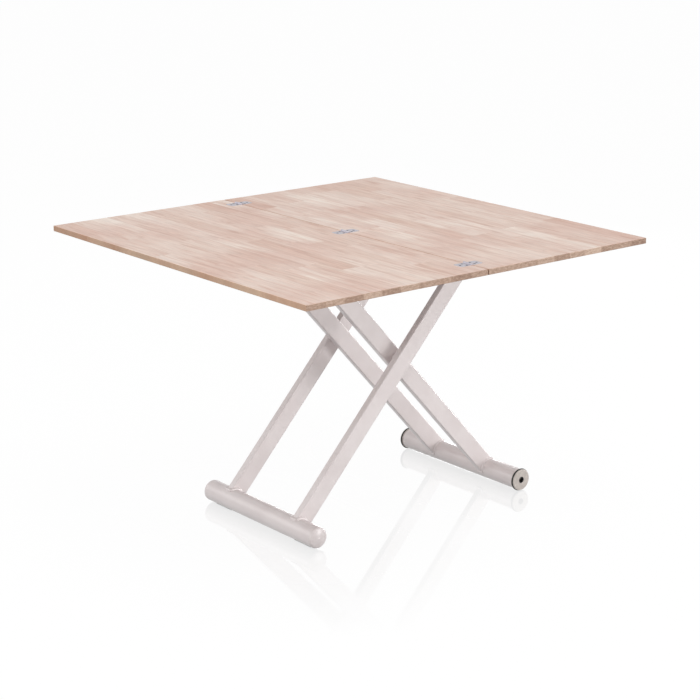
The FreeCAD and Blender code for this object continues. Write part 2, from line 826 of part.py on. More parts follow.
foot_caps = []
foot_pads = []
plugs = []
wheel_screws = []
for word, side in SIDES.items():
    foot_caps.append(foot_cap(f"foot_cap_{word}", side))
    foot_pads.append(foot_pad(f"foot_pad_{word}", side))
    wheel_disc(f"wheel_disc_{word}", side)
    subpart(tyre_ring(f"tyre_{word}", side, ZERO), f"wheel_tyre_{word}")
    plug_far = size("roller_tube_length") / 2
    plug_start = (roller_x, low_y(side, screw_low, plug_far), wheel_radius)
    plug_radius = roller_tube_radius - size("tube_wall") - size("running_clearance")
    plug_hole = size("wheel_screw_radius") + size("seat_clearance")
    plugs.append(ring(f"plug_{word}", plug_radius, plug_hole, size("tube_plug_length"), plug_start))
    head_low = wheel_start + size("wheel_thickness") - size("wheel_recess_depth") + size("side_play")
    head_high = head_low + size("wheel_screw_head_height")
    shank = rod(f"wheel_shank_{word}", size("wheel_screw_radius"), head_low - screw_low,
                (roller_x, low_y(side, screw_low, head_low), wheel_radius))
    head = rod(f"wheel_head_{word}", size("wheel_screw_head_radius"), size("wheel_screw_head_height"),
               (roller_x, low_y(side, head_low, head_high), wheel_radius))
    wheel_screws.append(fuse(f"wheel_screw_{word}", [shank, head]))
subpart(group("foot_caps_all", foot_caps), "foot_caps")
subpart(group("foot_pads_all", foot_pads), "foot_pads")
subpart(group("plugs_all", plugs), "roller_tube_plugs")
subpart(group("wheel_screws_all", wheel_screws), "wheel_screws")


# Pivots: outer hinge at the rails, crossing of the legs, rollers in the rails

def between(name, outer, side, near, far, x, z, inner=None):
    """A round piece along Y from near to far, solid or with a bore."""
    start = (x, low_y(side, near, far), z)
    if inner is None:
        return rod(name, outer, far - near, start)
    return ring(name, outer, inner, far - near, start)


pivot = size("pivot_radius")
bush_bore = pivot + size("running_clearance")
bush_outside = size("bush_radius")
head_high = size("bolt_head_height")
play = size("side_play")
pieces = {label: [] for label in (
    "outer_hinge_bolts", "outer_hinge_nuts", "outer_hinge_bushes", "crossing_pins",
    "crossing_spacers", "crossing_inserts", "crossing_bushes", "rail_roller_axles")}
for word, side in SIDES.items():
    nut_near = web_inside - size("nut_height")
    head_near = outer_leg_outside + play
    bolt = fuse(f"outer_bolt_{word}", [
        between(f"outer_shank_{word}", pivot, side, nut_near, head_near, hinge_x, pin_z),
        between(f"outer_head_{word}", size("bolt_head_radius"), side, head_near, head_near + head_high,
                hinge_x, pin_z)])
    pieces["outer_hinge_bolts"].append(bolt)
    nut_start = (hinge_x, low_y(side, nut_near, web_inside), pin_z)
    nut_high = size("nut_height")
    blank = hexagon(f"outer_nut_blank_{word}", size("bolt_head_radius"), nut_high, nut_start, "y")
    bore = rod(f"outer_nut_bore_{word}", pivot_hole, nut_high, nut_start)
    pieces["outer_hinge_nuts"].append(cut(f"outer_nut_{word}", blank, [bore]))
    pieces["outer_hinge_bushes"].append(between(
        f"outer_bush_{word}", bush_outside, side, outer_leg_inside, outer_leg_outside,
        hinge_x, pin_z, bush_bore))

    insert_near = outer_leg_inside + size("leg_wall")
    insert_far = outer_leg_outside - size("leg_wall")
    bush_near = inner_leg_inside + size("leg_wall")
    # Each pin is fixed in the outer leg and ends inside the inner leg, so no end of it shows
    pieces["crossing_pins"].append(between(
        f"crossing_pin_{word}", pivot, side, bush_near + play, insert_far, crossing_x, crossing_z))
    pieces["crossing_spacers"].append(between(
        f"crossing_spacer_{word}", size("crossing_spacer_radius"), side, inner_leg_outside + play,
        outer_leg_inside, crossing_x, crossing_z, pivot_hole))
    pieces["crossing_inserts"].append(between(
        f"crossing_insert_{word}", size("insert_radius"), side, insert_near, insert_far,
        crossing_x, crossing_z, pivot_hole))
    pieces["crossing_bushes"].append(between(
        f"crossing_bush_{word}", bush_outside, side, bush_near, inner_leg_outside,
        crossing_x, crossing_z, bush_bore))

    axle = size("rail_axle_radius")
    roller_near = rail_inside + size("rail_roller_side_gap")
    roller_far = roller_near + size("rail_roller_width")
    collar_near = roller_far + play
    collar_far = collar_near + size("rail_axle_collar_width")
    axle_head_far = inner_leg_inside
    pieces["rail_roller_axles"].append(fuse(f"rail_axle_{word}", [
        between(f"rail_shank_{word}", axle, side, axle_head_far, collar_far, slider_x, pin_z),
        between(f"rail_collar_{word}", size("rail_axle_collar_radius"), side, collar_near, collar_far,
                slider_x, pin_z),
        between(f"rail_head_{word}", size("bolt_head_radius"), side, axle_head_far - head_high,
                axle_head_far, slider_x, pin_z)]))
    roller_radius = size("rail_height") / 2 - size("rail_wall") - size("rail_roller_clearance")
    roller_bore = axle + size("running_clearance")
    subpart(between(f"rail_roller_{word}_body", roller_radius, side, roller_near, roller_far,
                    slider_x, pin_z, roller_bore), f"rail_roller_{word}")
for label, items in pieces.items():
    subpart(group(label + "_all", items), label)


# Cross tubes between the legs

tube_radius = size("cross_tube_radius")
outer_tube_x = hinge_x - size("outer_tube_drop") * cos_dining
outer_tube_z = pin_z - size("outer_tube_drop") * sin_dining
inner_tube_x = slider_x + size("inner_tube_drop") * cos_dining
inner_tube_z = pin_z - size("inner_tube_drop") * sin_dining
outer_tube_start = (outer_tube_x, -outer_leg_inside, outer_tube_z)
inner_tube_start = (inner_tube_x, -inner_leg_inside, inner_tube_z)
subpart(rod("outer_rod", tube_radius, 2 * outer_leg_inside, outer_tube_start), "outer_cross_tube")
subpart(rod("inner_rod", tube_radius, 2 * inner_leg_inside, inner_tube_start), "inner_cross_tube")


# Gas spring, along its own X axis from the anchor pin towards the outer cross tube

anchor_z = pin_z - size("spring_anchor_drop")
spring_run = outer_tube_x - mid_bar_x
spring_fall = anchor_z - outer_tube_z
low_run = hinge_x - size("outer_tube_drop") * cos_coffee - mid_bar_x
low_fall = size("outer_tube_drop") * sin_coffee - size("spring_anchor_drop")


def diagonal(run, fall):
    return Formula(f"sqrt({run} ^ 2 + {fall} ^ 2)")


spring_length = diagonal(spring_run, spring_fall)
spring_stroke = spring_length - diagonal(low_run, low_fall)
spring_angle = Formula(f"atan2({spring_fall}; {spring_run})")
DIP = (0, 1, 0)


def spring_piece(thing, label):
    tilt(thing, DIP, spring_angle, mid_bar_x, 0, anchor_z)
    return subpart(thing, label)


half_eye = size("spring_eye_width") / 2
body_start = size("spring_neck_length")
body_end = body_start + size("spring_body_length")
end_thick = size("spring_end_thickness")
cavity_radius = size("spring_body_radius") - size("spring_body_wall")
body_shell = fuse("spring_shell", [
    rod("spring_eye", size("spring_eye_radius"), size("spring_eye_width"), (0, -half_eye, 0)),
    rod("spring_neck", size("spring_neck_radius"), body_start, (0, 0, 0), "x"),
    rod("spring_barrel", size("spring_body_radius"), size("spring_body_length"), (body_start, 0, 0), "x")])
spring_cuts = [
    rod("spring_pin_hole", size("spring_pin_radius") + size("running_clearance"),
        size("spring_eye_width"), (0, -half_eye, 0)),
    rod("spring_cavity", cavity_radius, size("spring_body_length") - 2 * end_thick,
        (body_start + end_thick, 0, 0), "x"),
    rod("spring_guide", size("spring_rod_radius") + size("running_clearance"), end_thick,
        (body_end - end_thick, 0, 0), "x")]
spring_piece(cut("spring_body_cut", body_shell, spring_cuts), "gas_spring_cylinder")

open_bore = tube_radius + size("spring_open_clearance")
open_eye = open_bore + size("spring_open_eye_wall")
rod_start = body_start + end_thick + spring_stroke + size("spring_stroke_reserve")
rod_end = spring_length - open_bore
spring_rod = fuse("spring_rod_solid", [
    rod("spring_rod_bar", size("spring_rod_radius"), rod_end - rod_start, (rod_start, 0, 0), "x"),
    rod("spring_piston", cavity_radius - size("running_clearance"), size("spring_piston_length"),
        (rod_start, 0, 0), "x"),
    rod("spring_rod_eye", open_eye, size("spring_eye_width"), (spring_length, -half_eye, 0))])
open_start = (spring_length, -half_eye, 0)
open_hole = rod("spring_open_hole", open_bore, size("spring_eye_width"), open_start)
spring_piece(cut("spring_rod_cut", spring_rod, [open_hole]), "gas_spring_rod")

collar_near = half_eye + play
collar_far = collar_near + size("spring_collar_width")
collar_bore = tube_radius + size("seat_clearance")
collars = [between(f"collar_{word}", open_eye, side, collar_near, collar_far,
                   outer_tube_x, outer_tube_z, collar_bore)
           for word, side in SIDES.items()]
subpart(group("collars_all", collars), "spring_collars")


def hanger(name, x, z, near, hole):
    """Two ears that hang from a cross member and hold a pin between them."""
    wide = size("bracket_margin") + hole
    thick = size("bracket_thickness")
    ears = []
    for word, side in SIDES.items():
        start = (x - wide, low_y(side, near, near + thick), z - wide)
        ear = block(f"{name}_ear_{word}", start, (2 * wide, thick, rail_top_z - z + wide))
        hole_start = (x, low_y(side, near, near + thick), z)
        ears.append(cut(f"{name}_{word}", ear, [rod(f"{name}_hole_{word}", hole, thick, hole_start)]))
    return group(name, ears)


anchor_near = half_eye + play
anchor_far = anchor_near + size("bracket_thickness")
anchor_hole = size("spring_pin_radius") + size("seat_clearance")
subpart(hanger("anchor_ears", mid_bar_x, anchor_z, anchor_near, anchor_hole), "spring_anchor_ears")
anchor_start = (mid_bar_x, -anchor_far, anchor_z)
subpart(rod("anchor_pin", size("spring_pin_radius"), 2 * anchor_far, anchor_start), "spring_anchor_pin")


# Release lever under the right-hand cross member

lever_z = pin_z + size("lever_pin_lift")
lever_half = size("lever_width") / 2
lever_thick = size("lever_thickness")
lever_near = lever_half + play
lever_far = lever_near + size("bracket_thickness")
lever_hole = size("lever_pin_radius") + size("running_clearance")
lever_start = (hinge_x - size("lever_tail"), -lever_half, lever_z - lever_thick / 2)
lever_bar = block("lever_bar", lever_start,
                  (size("lever_tail") + size("lever_length"), size("lever_width"), lever_thick))
hub_radius = size("lever_pin_radius") + size("grip_wall")
lever_hub = rod("lever_hub", hub_radius, size("lever_width"), (hinge_x, -lever_half, lever_z))
lever_bore = rod("lever_bore", lever_hole, size("lever_width"), (hinge_x, -lever_half, lever_z))
subpart(cut("lever_cut", fuse("lever_solid", [lever_bar, lever_hub]), [lever_bore]), "release_lever")

grip_low_x = hinge_x + size("lever_length") - size("grip_length")
grip_room = size("seat_clearance")
grip_half = lever_half + size("grip_wall")
grip_thick = lever_thick + 2 * size("grip_wall")
grip_high_x = grip_low_x + size("grip_length") + size("grip_wall")
grip_points = [(grip_low_x, -grip_half), (grip_high_x, -grip_half),
               (grip_high_x, grip_half), (grip_low_x, grip_half)]
grip_body = padded("grip_body", "XY_Plane", grip_points, grip_thick)
rounded(grip_body, size("grip_wall") / 2, lambda edge: True)
put(grip_body, 0, 0, lever_z - grip_thick / 2)
socket_half = lever_half + grip_room
socket_high = lever_thick + 2 * grip_room
grip_socket = block("grip_socket", (grip_low_x, -socket_half, lever_z - socket_high / 2),
                    (size("grip_length") + grip_room, 2 * socket_half, socket_high))
subpart(cut("grip_cut", grip_body, [grip_socket]), "lever_grip")
pin_hole = size("lever_pin_radius") + size("seat_clearance")
subpart(hanger("lever_ears_pair", hinge_x, lever_z, lever_near, pin_hole), "lever_ears")
lever_pin_start = (hinge_x, -lever_far, lever_z)
subpart(rod("lever_pin_bar", size("lever_pin_radius"), 2 * lever_far, lever_pin_start), "lever_pin")


# Build, test and write

doc.recompute()
failed = [thing.Name for thing in doc.Objects if "Invalid" in thing.State or "Error" in thing.State]
if failed:
    raise RuntimeError(f"objects that failed: {failed}")
for thing in subparts:
    if thing.Shape.isNull() or not thing.Shape.isValid():
        raise RuntimeError(f"bad shape: {thing.Label}")

os.makedirs("parts", exist_ok=True)
for thing in subparts:
    thing.Shape.exportStep(os.path.join("parts", thing.Label + ".step"))
    print(f"{thing.Label}: {len(thing.Shape.Solids)} solids, {thing.Shape.Volume:.0f} mm3")
print(len(subparts), "nodes")
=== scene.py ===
# %% [markdown]
# # A convertible table, dressed
#
# The table is two wooden leaves on a swivel, carried by a scissor of steel tube. The solid model
# already holds every piece at its real size, so this script gives the pieces their finishes,
# remodels the small hardware that a solid model keeps plain, and sets up the studio.
# All lengths are metres, in the frame of the solid model.

# %% Load the solid model
import json
import math

import bmesh
import bpy
from mathutils import Matrix, Vector


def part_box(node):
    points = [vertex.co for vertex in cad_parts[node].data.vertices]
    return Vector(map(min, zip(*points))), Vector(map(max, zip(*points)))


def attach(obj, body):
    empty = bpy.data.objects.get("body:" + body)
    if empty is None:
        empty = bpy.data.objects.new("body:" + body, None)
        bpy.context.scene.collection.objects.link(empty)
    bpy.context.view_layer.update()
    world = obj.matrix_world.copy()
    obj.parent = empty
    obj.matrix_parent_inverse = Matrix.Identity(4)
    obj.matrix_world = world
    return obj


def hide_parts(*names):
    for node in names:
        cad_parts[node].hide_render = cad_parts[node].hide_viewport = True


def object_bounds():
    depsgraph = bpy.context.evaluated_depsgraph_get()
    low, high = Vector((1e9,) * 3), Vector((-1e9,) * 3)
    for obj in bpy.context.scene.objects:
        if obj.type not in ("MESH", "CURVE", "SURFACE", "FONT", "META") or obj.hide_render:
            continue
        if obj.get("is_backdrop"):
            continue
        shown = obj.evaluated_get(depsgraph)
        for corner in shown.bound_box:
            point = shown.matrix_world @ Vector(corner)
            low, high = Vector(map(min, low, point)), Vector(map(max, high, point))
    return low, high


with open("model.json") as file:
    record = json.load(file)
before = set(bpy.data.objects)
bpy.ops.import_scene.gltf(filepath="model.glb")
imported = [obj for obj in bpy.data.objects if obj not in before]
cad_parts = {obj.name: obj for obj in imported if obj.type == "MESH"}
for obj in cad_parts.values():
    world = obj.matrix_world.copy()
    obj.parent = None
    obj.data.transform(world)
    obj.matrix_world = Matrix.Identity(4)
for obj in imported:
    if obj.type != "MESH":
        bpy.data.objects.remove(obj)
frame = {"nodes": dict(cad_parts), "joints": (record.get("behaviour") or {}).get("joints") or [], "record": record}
cad_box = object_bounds()
scene = bpy.context.scene
MM = 0.001

# %% [markdown]
# ## Camera
#
# The photograph was taken with a long lens from the left of the table's near corner, a little
# above the top. A camera is easiest to read as a point to look at, a distance and two angles,
# so its place is worked out from those four values.

# %% Camera
LOOK_AT = Vector((0.0039, -0.0135, 0.4318))
DISTANCE = 5.15
AZIMUTH = math.radians(-39.05)
ELEVATION = math.radians(15.76)
LENS_MM = 99.19
SENSOR_MM = 36.0

away = Vector((
    math.sin(AZIMUTH) * math.cos(ELEVATION),
    -math.cos(AZIMUTH) * math.cos(ELEVATION),
    math.sin(ELEVATION),
))
camera_data = bpy.data.cameras.new("camera")
camera_data.lens = LENS_MM
camera_data.sensor_width = SENSOR_MM
camera = bpy.data.objects.new("camera", camera_data)
camera.location = LOOK_AT + away * DISTANCE
camera.rotation_mode = "QUATERNION"
camera.rotation_quaternion = (-away).to_track_quat("-Z", "Y")
scene.collection.objects.link(camera)
scene.camera = camera
print("camera at", [round(value, 3) for value in camera.location])

# %% [markdown]
# ## Helpers for materials
#
# Colours are picked on a screen, so they are written as sRGB hex values, while shaders add up
# light and want linear numbers: one function converts them. The next gives a node's inputs what
# they need, a plain value or a link, and one more adds a node with its settings. The last starts
# a material, and sets on its shader the values that are the same all over.

# %% Colour and node helpers
WHITE = "#FFFFFF"


def linear(hex_color):
    """A #RRGGBB screen colour as the linear RGBA that shaders use."""
    channels = [int(hex_color[start:start + 2], 16) / 255 for start in (1, 3, 5)]
    low = [channel / 12.92 for channel in channels]
    high = [((channel + 0.055) / 1.055) ** 2.4 for channel in channels]
    chosen = [a if channel <= 0.04045 else b for channel, a, b in zip(channels, low, high)]
    return (*chosen, 1.0)


def fill(tree, target, inputs):
    """Sets a node's inputs, by name or number, and links those that are given a node or a socket."""
    shown = [socket for socket in target.inputs if not socket.is_unavailable]
    for key, value in inputs.items():
        socket = shown[key] if isinstance(key, int) else next(s for s in shown if s.name == key)
        if isinstance(value, bpy.types.Node):
            value = next(output for output in value.outputs if not output.is_unavailable)
        if isinstance(value, bpy.types.NodeSocket):
            tree.links.new(value, socket)
        else:
            socket.default_value = value


def node(tree, kind, inputs=None, stops=(), **settings):
    """Adds one node with its settings, its colour stops, its values and its links."""
    made = tree.nodes.new("ShaderNode" + kind)
    for name, value in settings.items():
        setattr(made, name, value)
    for index, (place, hex_color) in enumerate(stops):
        elements = made.color_ramp.elements
        stop = elements[index] if index < len(elements) else elements.new(place)
        stop.position = place
        stop.color = linear(hex_color)
    fill(tree, made, inputs or {})
    return made


def new_finish(name, **values):
    """An empty material: its node tree and its surface shader, with the values that are uniform."""
    material = bpy.data.materials.new(name)
    material.use_nodes = True
    tree = material.node_tree
    surface = tree.nodes["Principled BSDF"]
    for socket_name, value in values.items():
        surface.inputs[socket_name.replace("_", " ")].default_value = value
    return material, tree, surface


print("middle grey on a screen is", round(linear("#808080")[0], 3), "of white in linear light")

# %% [markdown]
# ## Rubberwood staves
#
# The leaves are edge-glued rubberwood: staves about 56 mm wide and a few hundred millimetres
# long, butted end to end. An image of them would repeat, so the staves are counted in the
# shader: dividing by the stave's width and rounding down numbers them, and a random value for
# each number gives its length and, with the number of the length, its tint. The part that the
# rounding drops is the way across a stave, which tells where the glue lines are.

# %% Staves
leaf_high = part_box("leaf_fixed")[1]
STAVES_PER_LEAF = 10
STAVE_WIDTH = leaf_high.x / STAVES_PER_LEAF
SHORT_STAVE = 240 * MM
LONG_STAVE = 520 * MM
STAVE_SHIFT = 7.0
GLUE_LINE = 0.5 * MM
GLUE_TONE = 0.93


def number_staves(tree, across, along):
    """Random values by stave and by length, the way off a stave's middle, and the glue's tone."""
    stave_place = node(tree, "Math", {0: across, 1: STAVE_WIDTH}, operation="DIVIDE")
    stave = node(tree, "Math", {0: stave_place}, operation="FLOOR")
    chance = node(tree, "TexWhiteNoise", {"W": stave}, noise_dimensions="1D")
    length = node(tree, "MapRange", {"Value": chance, "To Min": SHORT_STAVE, "To Max": LONG_STAVE})
    shift = node(tree, "Math", {0: chance, 1: STAVE_SHIFT}, operation="MULTIPLY")
    lengths = node(tree, "Math", {0: along, 1: length}, operation="DIVIDE")
    length_place = node(tree, "Math", {0: lengths, 1: shift}, operation="ADD")
    piece = node(tree, "Math", {0: length_place}, operation="FLOOR")
    label = node(tree, "CombineXYZ", {"X": stave, "Y": piece})
    tint_chance = node(tree, "TexWhiteNoise", {"Vector": label}, noise_dimensions="2D")

    sides = []
    lines = []
    for place, size in ((stave_place, STAVE_WIDTH), (length_place, LONG_STAVE)):
        part = node(tree, "Math", {0: place}, operation="FRACT")
        side = node(tree, "Math", {0: part, 1: 0.5}, operation="SUBTRACT")
        off = node(tree, "Math", {0: side}, operation="ABSOLUTE")
        sides.append(side)
        lines.append(node(tree, "MapRange", {"Value": off, "From Min": 0.5 - GLUE_LINE / size,
                                             "From Max": 0.5}))
    line = node(tree, "Math", {0: lines[0], 1: lines[1]}, operation="MAXIMUM")
    line_tone = node(tree, "MapRange", {"Value": line, "To Min": 1.0, "To Max": GLUE_TONE})
    return chance, tint_chance, sides[0], line_tone


print("staves:", 2 * STAVES_PER_LEAF, "of", round(STAVE_WIDTH / MM, 2), "mm")

# %% [markdown]
# ## Grain and wash
#
# The wood is washed pale, which evens the staves out: the eye reads soft bands along the grain
# first, then a stave here and there that is pinker or creamier than its neighbours. Bands,
# fibres and pores are noise drawn out along the grain at three widths, and moved on from stave
# to stave, so that nothing runs on over a glue line. The wash took unevenly, which leaves a
# blush in clouds that are wider than a stave.

# %% Grain and wash
STAVE_TINTS = (
    (0.0, "#D4B6A8"), (0.16, "#DBC4B7"), (0.4, "#E0CCC1"), (0.72, "#E4D3C9"), (0.9, "#E9DBD2"),
    (1.0, "#EFE5DC"),
)
BAND_TINTS = ((0.3, "#EAD9D1"), (0.5, "#FAF5F2"), (0.7, "#FFFFFE"))
BLUSH_TINT = "#D7BAAE"
BLUSH_SHARE = 0.75
CLOUD_SIZE = 240 * MM
BAND_SIZE = (15 * MM, 190 * MM)
FIBRE_SIZE = (4.5 * MM, 75 * MM)
# Real pores are a fifth of a millimetre wide: they are drawn wider, so that they show
PORE_SIZE = (1.6 * MM, 28 * MM)
FIBRE_TONES = (0.89, 1.1)
PORE_TONE = 0.92
GRAIN_MOVE = 50.0


def washed_face(tree, place, across, along, tint_chance, line_tone):
    """The colour of the leaf's face, its tone for the relief, and its fibres for the gloss."""
    move = node(tree, "Math", {0: tint_chance, 1: GRAIN_MOVE}, operation="MULTIPLY")
    grain_place = node(tree, "CombineXYZ", {"X": across, "Y": along, "Z": move})
    grain = {}
    for layer, (width, run) in (("band", BAND_SIZE), ("fibre", FIBRE_SIZE), ("pore", PORE_SIZE)):
        space = node(tree, "Mapping", {"Vector": grain_place, "Scale": (1 / width, 1 / run, 1.0)})
        grain[layer] = node(tree, "TexNoise", {"Vector": space, "Scale": 1.0, "Detail": 4.0,
                                               "Roughness": 0.6, "Distortion": 1.0})
    band = node(tree, "ValToRGB", {0: grain["band"]}, stops=BAND_TINTS)
    fibre_tone = node(tree, "MapRange", {"Value": grain["fibre"], "From Min": 0.3, "From Max": 0.7,
                                         "To Min": FIBRE_TONES[0], "To Max": FIBRE_TONES[1]})
    pore_tone = node(tree, "MapRange", {"Value": grain["pore"], "From Min": 0.56, "From Max": 0.75,
                                        "To Min": 1.0, "To Max": PORE_TONE})
    tone = node(tree, "Math", {0: fibre_tone, 1: pore_tone}, operation="MULTIPLY")
    tone = node(tree, "Math", {0: tone, 1: line_tone}, operation="MULTIPLY")

    tint = node(tree, "ValToRGB", {0: tint_chance}, stops=STAVE_TINTS)
    cloud = node(tree, "TexNoise", {"Vector": place, "Scale": 1 / CLOUD_SIZE, "Detail": 3.0})
    blush = node(tree, "MapRange", {"Value": cloud, "From Min": 0.4, "From Max": 0.64,
                                    "To Min": 0.0, "To Max": BLUSH_SHARE})
    washed = node(tree, "Mix", {"Factor": blush, "A": tint, "B": linear(BLUSH_TINT)}, data_type="RGBA")
    banded = node(tree, "Mix", {"Factor": 1.0, "A": washed, "B": band}, data_type="RGBA",
                  blend_type="MULTIPLY")
    face = node(tree, "Mix", {"Factor": 1.0, "A": banded, "B": tone}, data_type="RGBA",
                blend_type="MULTIPLY")
    return face, tone, grain["fibre"]


print("grain widths:", [round(size[0] / MM, 1) for size in (BAND_SIZE, FIBRE_SIZE, PORE_SIZE)], "mm")

# %% [markdown]
# ## Sawn ends
#
# End grain drinks the wash, so the sawn ends are darker than the face, and each stave's end
# shows its own rings: they lie about a heart that is higher or lower from stave to stave. Rings
# are a wave texture, broken up by a speckle of pores.

# %% Sawn ends
END_TINTS = ((0.34, "#7D5F4D"), (0.46, "#A28370"), (0.56, "#BD9F8B"), (0.68, "#D2B9A6"))
RING_SPACING = 2.6 * MM
# At a scale of 1, the wave texture draws a ring every 0.314 of a unit
WAVE_PERIOD = 0.314
HEART_REACH = 40 * MM
SPECKLE_SIZE = (11 * MM, 5 * MM)
SPECKLE_SHARE = 0.7
STAVE_SHARE = 0.2


def sawn_end(tree, place, up, chance, tint_chance, stave_side):
    """The colour of the staves' sawn ends."""
    ring_x = node(tree, "Math", {0: stave_side, 1: STAVE_WIDTH}, operation="MULTIPLY")
    heart = node(tree, "MapRange", {"Value": chance, "To Min": -HEART_REACH, "To Max": HEART_REACH})
    ring_z = node(tree, "Math", {0: up, 1: heart}, operation="ADD")
    ring_space = node(tree, "CombineXYZ", {"X": ring_x, "Z": ring_z})
    rings = node(tree, "TexWave", {"Vector": ring_space, "Scale": WAVE_PERIOD / RING_SPACING,
                                   "Distortion": 2.5, "Detail": 2.0, "Detail Scale": 2.0},
                 wave_type="RINGS", rings_direction="Y")
    run, rise = SPECKLE_SIZE
    speckle_space = node(tree, "Mapping", {"Vector": place, "Scale": (1 / run, 1 / run, 1 / rise)})
    speckle = node(tree, "TexNoise", {"Vector": speckle_space, "Scale": 1.0, "Detail": 4.0,
                                      "Roughness": 0.7})
    mottle = node(tree, "Mix", {"Factor": SPECKLE_SHARE, "A": rings.outputs["Fac"], "B": speckle},
                  data_type="FLOAT")
    stave_mottle = node(tree, "Mix", {"Factor": STAVE_SHARE, "A": mottle, "B": tint_chance},
                        data_type="FLOAT")
    return node(tree, "ValToRGB", {0: stave_mottle}, stops=END_TINTS)


print("rings:", round(RING_SPACING / MM, 1), "mm apart")

# %% [markdown]
# ## The leaf's finish
#
# The direction in which the wood faces tells which look it has: the washed face, the long sides
# that took less of the wash, or the sawn ends. The two edges that meet at the seam get painted
# shade: a darker tint from just below the sanded arris down, standing in for the shadow in the
# gap between the leaves. A matt lacquer covers it all.

# %% The leaf's finish
END_GRAIN_FACING = 0.6
EDGE_FACING = 0.75
EDGE_TINT = "#E7D8C5"
# Painted shade: a darker tint that stands in for the shadow in the gap between the leaves
SEAM_SHADE_TINT = "#CFC3B8"
SEAM_REACH = 1.9 * MM
SEAM_DEPTH = 1.2 * MM
LACQUER_ROUGH = (0.44, 0.6)


def rubberwood():
    """Washed and lacquered rubberwood, for both leaves."""
    material, tree, surface = new_finish("washed_rubberwood", Specular_IOR_Level=0.3)
    coordinates = node(tree, "TexCoord").outputs
    place = coordinates["Object"]
    across, along, up = node(tree, "SeparateXYZ", {0: place}).outputs
    chance, tint_chance, stave_side, line_tone = number_staves(tree, across, along)
    face, tone, fibre = washed_face(tree, place, across, along, tint_chance, line_tone)
    end = sawn_end(tree, place, up, chance, tint_chance, stave_side)

    facing = node(tree, "SeparateXYZ", {0: coordinates["Normal"]}).outputs
    upright = node(tree, "Math", {0: facing["Z"]}, operation="ABSOLUTE")
    on_side = node(tree, "MapRange", {"Value": upright, "From Min": EDGE_FACING, "From Max": 1.0,
                                      "To Min": 1.0, "To Max": 0.0})
    side = node(tree, "Mix", {"Factor": on_side, "A": face, "B": linear(EDGE_TINT)}, data_type="RGBA",
                blend_type="MULTIPLY")
    endways = node(tree, "Math", {0: facing["Y"]}, operation="ABSOLUTE")
    on_end = node(tree, "Math", {0: endways, 1: END_GRAIN_FACING}, operation="GREATER_THAN")
    color = node(tree, "Mix", {"Factor": on_end, "A": side, "B": end}, data_type="RGBA")

    # Painted shade: the meeting edges are darkened from just below the arris down, for the shadow in the seam's
    # gap
    seam_off = node(tree, "Math", {0: across}, operation="ABSOLUTE")
    near_seam = node(tree, "Math", {0: seam_off, 1: SEAM_REACH}, operation="LESS_THAN")
    deep = node(tree, "Math", {0: up, 1: leaf_high.z - SEAM_DEPTH}, operation="LESS_THAN")
    painted_seam_shade = node(tree, "Math", {0: near_seam, 1: deep}, operation="MULTIPLY")
    finished = node(tree, "Mix", {"Factor": painted_seam_shade, "A": color, "B": linear(SEAM_SHADE_TINT)},
                    data_type="RGBA", blend_type="MULTIPLY")

    gloss = node(tree, "MapRange", {"Value": fibre, "To Min": LACQUER_ROUGH[0], "To Max": LACQUER_ROUGH[1]})
    relief = node(tree, "Bump", {"Strength": 0.25, "Distance": 0.12 * MM, "Height": tone})
    fill(tree, surface, {"Base Color": finished, "Roughness": gloss, "Normal": relief})
    return material


print("washed face at z =", round(leaf_high.z, 4), "m")

# %% [markdown]
# ## Powder coat
#
# The tubes are sprayed with a pinkish off-white powder and baked. The melt leaves a satin skin
# with a faint orange peel, so the colour is even, the highlights are soft, and the bump is a
# shallow noise about two millimetres across. A thin clear coat gives the skin its sheen.

# %% Powder coat
COAT_COLOR = "#DED5D4"
COAT_SHADE = "#D8CECD"
PEEL_SIZE = 2.2 * MM
COAT_CLOUD = 70 * MM


def powder_coat():
    """The satin powder coat of the tubes and the frame."""
    material, tree, surface = new_finish("satin_powder_coat", Coat_Weight=0.5, Coat_Roughness=0.2)
    place = node(tree, "TexCoord").outputs["Object"]
    cloud = node(tree, "TexNoise", {"Vector": place, "Scale": 1 / COAT_CLOUD, "Detail": 3.0})
    color = node(tree, "ValToRGB", {0: cloud}, stops=((0.35, COAT_SHADE), (0.65, COAT_COLOR)))
    gloss = node(tree, "MapRange", {"Value": cloud, "To Min": 0.36, "To Max": 0.46})
    peel = node(tree, "TexNoise", {"Vector": place, "Scale": 1 / PEEL_SIZE, "Detail": 1.0})
    relief = node(tree, "Bump", {"Strength": 0.12, "Distance": 0.1 * MM, "Height": peel})
    fill(tree, surface, {"Base Color": color, "Roughness": gloss, "Normal": relief})
    return material


print("powder coat:", COAT_COLOR, "with a peel of", round(PEEL_SIZE / MM, 1), "mm")

# %% [markdown]
# ## Moulded plastic and rubber
#
# The foot caps, the wheels, the tyre rings, the glides and the lever's grip are moulded. The
# melt's flow leaves two close tones, and the grain of the mould breaks up the gloss. They differ
# in colour, roughness and grain only, so one function makes them all.

# %% Moulded plastic and rubber
CAP_COLOR = "#DCD3D2"
CAP_SHADE = "#D5CBCA"
MOULD_GRAIN = 0.9 * MM
GLOSS_SPREAD = 0.06


